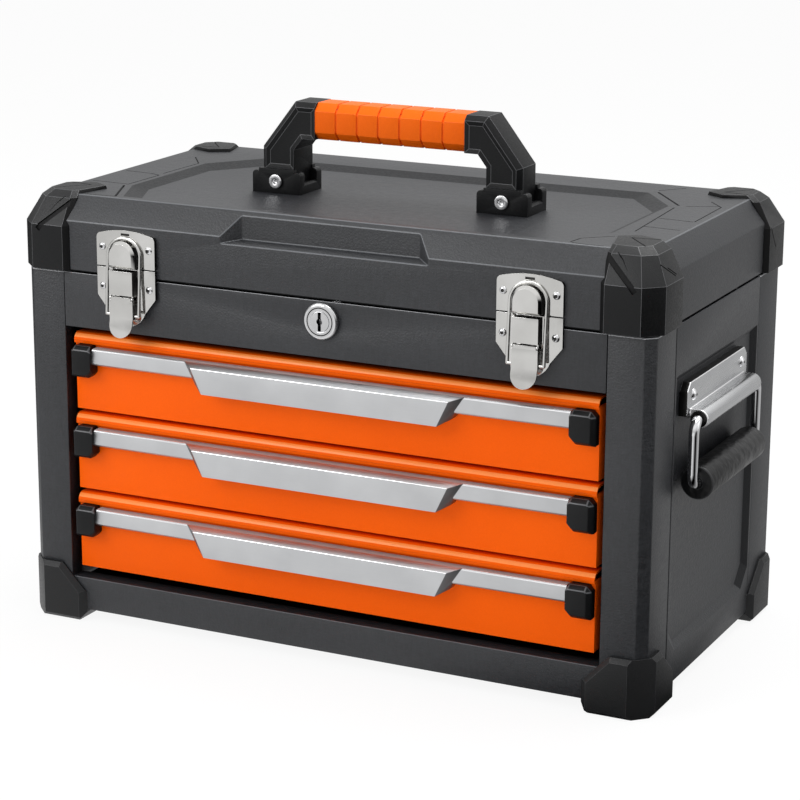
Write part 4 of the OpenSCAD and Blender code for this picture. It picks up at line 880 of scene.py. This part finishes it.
def addLowMirror(tree, coords):
    # level of what glossy surfaces see low down, by its bearing from the box
    flat = tree.nodes.new("ShaderNodeVectorMath")
    flat.operation = "MULTIPLY"
    flat.inputs[1].default_value = (1, 1, 0)
    tree.links.new(coords, flat.inputs[0])
    unit = tree.nodes.new("ShaderNodeVectorMath")
    unit.operation = "NORMALIZE"
    tree.links.new(flat.outputs[0], unit.inputs[0])
    bearing = tree.nodes.new("ShaderNodeVectorMath")
    bearing.operation = "DOT_PRODUCT"
    bearing.inputs[1].default_value = studio["mirrorAxis"]
    tree.links.new(unit.outputs[0], bearing.inputs[0])
    front = addSpan(tree, bearing.outputs["Value"], 0.0, studio["mirrorFront"], 0.15, 0.65)
    side = addSpan(tree, bearing.outputs["Value"], studio["mirrorSide"], 0.0, -0.65, -0.15)
    both = tree.nodes.new("ShaderNodeMath")
    both.operation = "ADD"
    tree.links.new(front, both.inputs[0])
    tree.links.new(side, both.inputs[1])
    return both.outputs[0]


for lampName in ("key", "fill", "top"):
    addLamp(lampName, *studio[lampName])

bpy.ops.mesh.primitive_plane_add(size=studio["floorSize"], location=(0, 0, -studio["floorDrop"]))
floor = bpy.context.object
floor.name = "studioFloor"
paper = bpy.data.materials.new("studioPaper")
paper.use_nodes = True
tree = paper.node_tree
tree.nodes.clear()
out = tree.nodes.new("ShaderNodeOutputMaterial")
matt = tree.nodes.new("ShaderNodeBsdfDiffuse")
matt.inputs["Color"].default_value = (*[studio["paper"]] * 3, 1)
glow = tree.nodes.new("ShaderNodeEmission")
glow.inputs["Color"].default_value = (1, 1, 1, 1)
path = tree.nodes.new("ShaderNodeLightPath")
share = tree.nodes.new("ShaderNodeMath")
share.operation = "MULTIPLY"
share.inputs[1].default_value = studio["floorGlow"]
mix = tree.nodes.new("ShaderNodeMixShader")
tree.links.new(path.outputs["Is Camera Ray"], share.inputs[0])
tree.links.new(share.outputs[0], mix.inputs["Fac"])
tree.links.new(matt.outputs[0], mix.inputs[1])
tree.links.new(glow.outputs[0], mix.inputs[2])
mirrored = tree.nodes.new("ShaderNodeEmission")
place = tree.nodes.new("ShaderNodeTexCoord")
tree.links.new(addLowMirror(tree, place.outputs["Object"]), mirrored.inputs["Strength"])
sort = tree.nodes.new("ShaderNodeMixShader")
tree.links.new(path.outputs["Is Glossy Ray"], sort.inputs["Fac"])
tree.links.new(mix.outputs[0], sort.inputs[1])
tree.links.new(mirrored.outputs[0], sort.inputs[2])
tree.links.new(sort.outputs[0], out.inputs["Surface"])
floor.data.materials.append(paper)

world = bpy.data.worlds.new("studioWorld")
bpy.context.scene.world = world
world.use_nodes = True
tree = world.node_tree
tree.nodes.clear()
out = tree.nodes.new("ShaderNodeOutputWorld")
place = tree.nodes.new("ShaderNodeTexCoord")
parts = tree.nodes.new("ShaderNodeSeparateXYZ")
tree.links.new(place.outputs["Generated"], parts.inputs["Vector"])
path = tree.nodes.new("ShaderNodeLightPath")
diffuse = addSpan(tree, parts.outputs["Z"], studio["skyLow"], studio["skyHigh"], 0.0, 0.8)
high = addSpan(tree, parts.outputs["Z"], studio["mirrorLow"], studio["mirrorHigh"], 0.15, 0.6)
mirror = tree.nodes.new("ShaderNodeMix")
tree.links.new(addSpan(tree, parts.outputs["Z"], 0.0, 1.0, 0.02, 0.22), mirror.inputs["Factor"])
tree.links.new(addLowMirror(tree, place.outputs["Generated"]), mirror.inputs["A"])
tree.links.new(high, mirror.inputs["B"])
level = tree.nodes.new("ShaderNodeMix")
tree.links.new(path.outputs["Is Glossy Ray"], level.inputs["Factor"])
tree.links.new(diffuse, level.inputs["A"])
tree.links.new(mirror.outputs["Result"], level.inputs["B"])
room = tree.nodes.new("ShaderNodeBackground")
room.inputs["Color"].default_value = (1, 1, 1, 1)
tree.links.new(level.outputs["Result"], room.inputs["Strength"])
seen = tree.nodes.new("ShaderNodeBackground")
seen.inputs["Color"].default_value = (1, 1, 1, 1)
seen.inputs["Strength"].default_value = 1.0
mix = tree.nodes.new("ShaderNodeMixShader")
tree.links.new(path.outputs["Is Camera Ray"], mix.inputs["Fac"])
tree.links.new(room.outputs[0], mix.inputs[1])
tree.links.new(seen.outputs[0], mix.inputs[2])
tree.links.new(mix.outputs[0], out.inputs["Surface"])

view = {
    "place": (0.83223, -1.71804, 0.68674),
    "turn": (74.8818, -0.3051, 26.0044),
    "lens": 114.84,
}
bpy.ops.object.camera_add(location=view["place"], rotation=[math.radians(v) for v in view["turn"]])
camera = bpy.context.object
camera.name = "photoCamera"
camera.data.sensor_width = 36
camera.data.lens = view["lens"]
camera.data.clip_start = 0.05
bpy.context.scene.camera = camera
bpy.context.scene.view_settings.view_transform = "Standard"
print("studio ready")

bpy.context.view_layer.update()
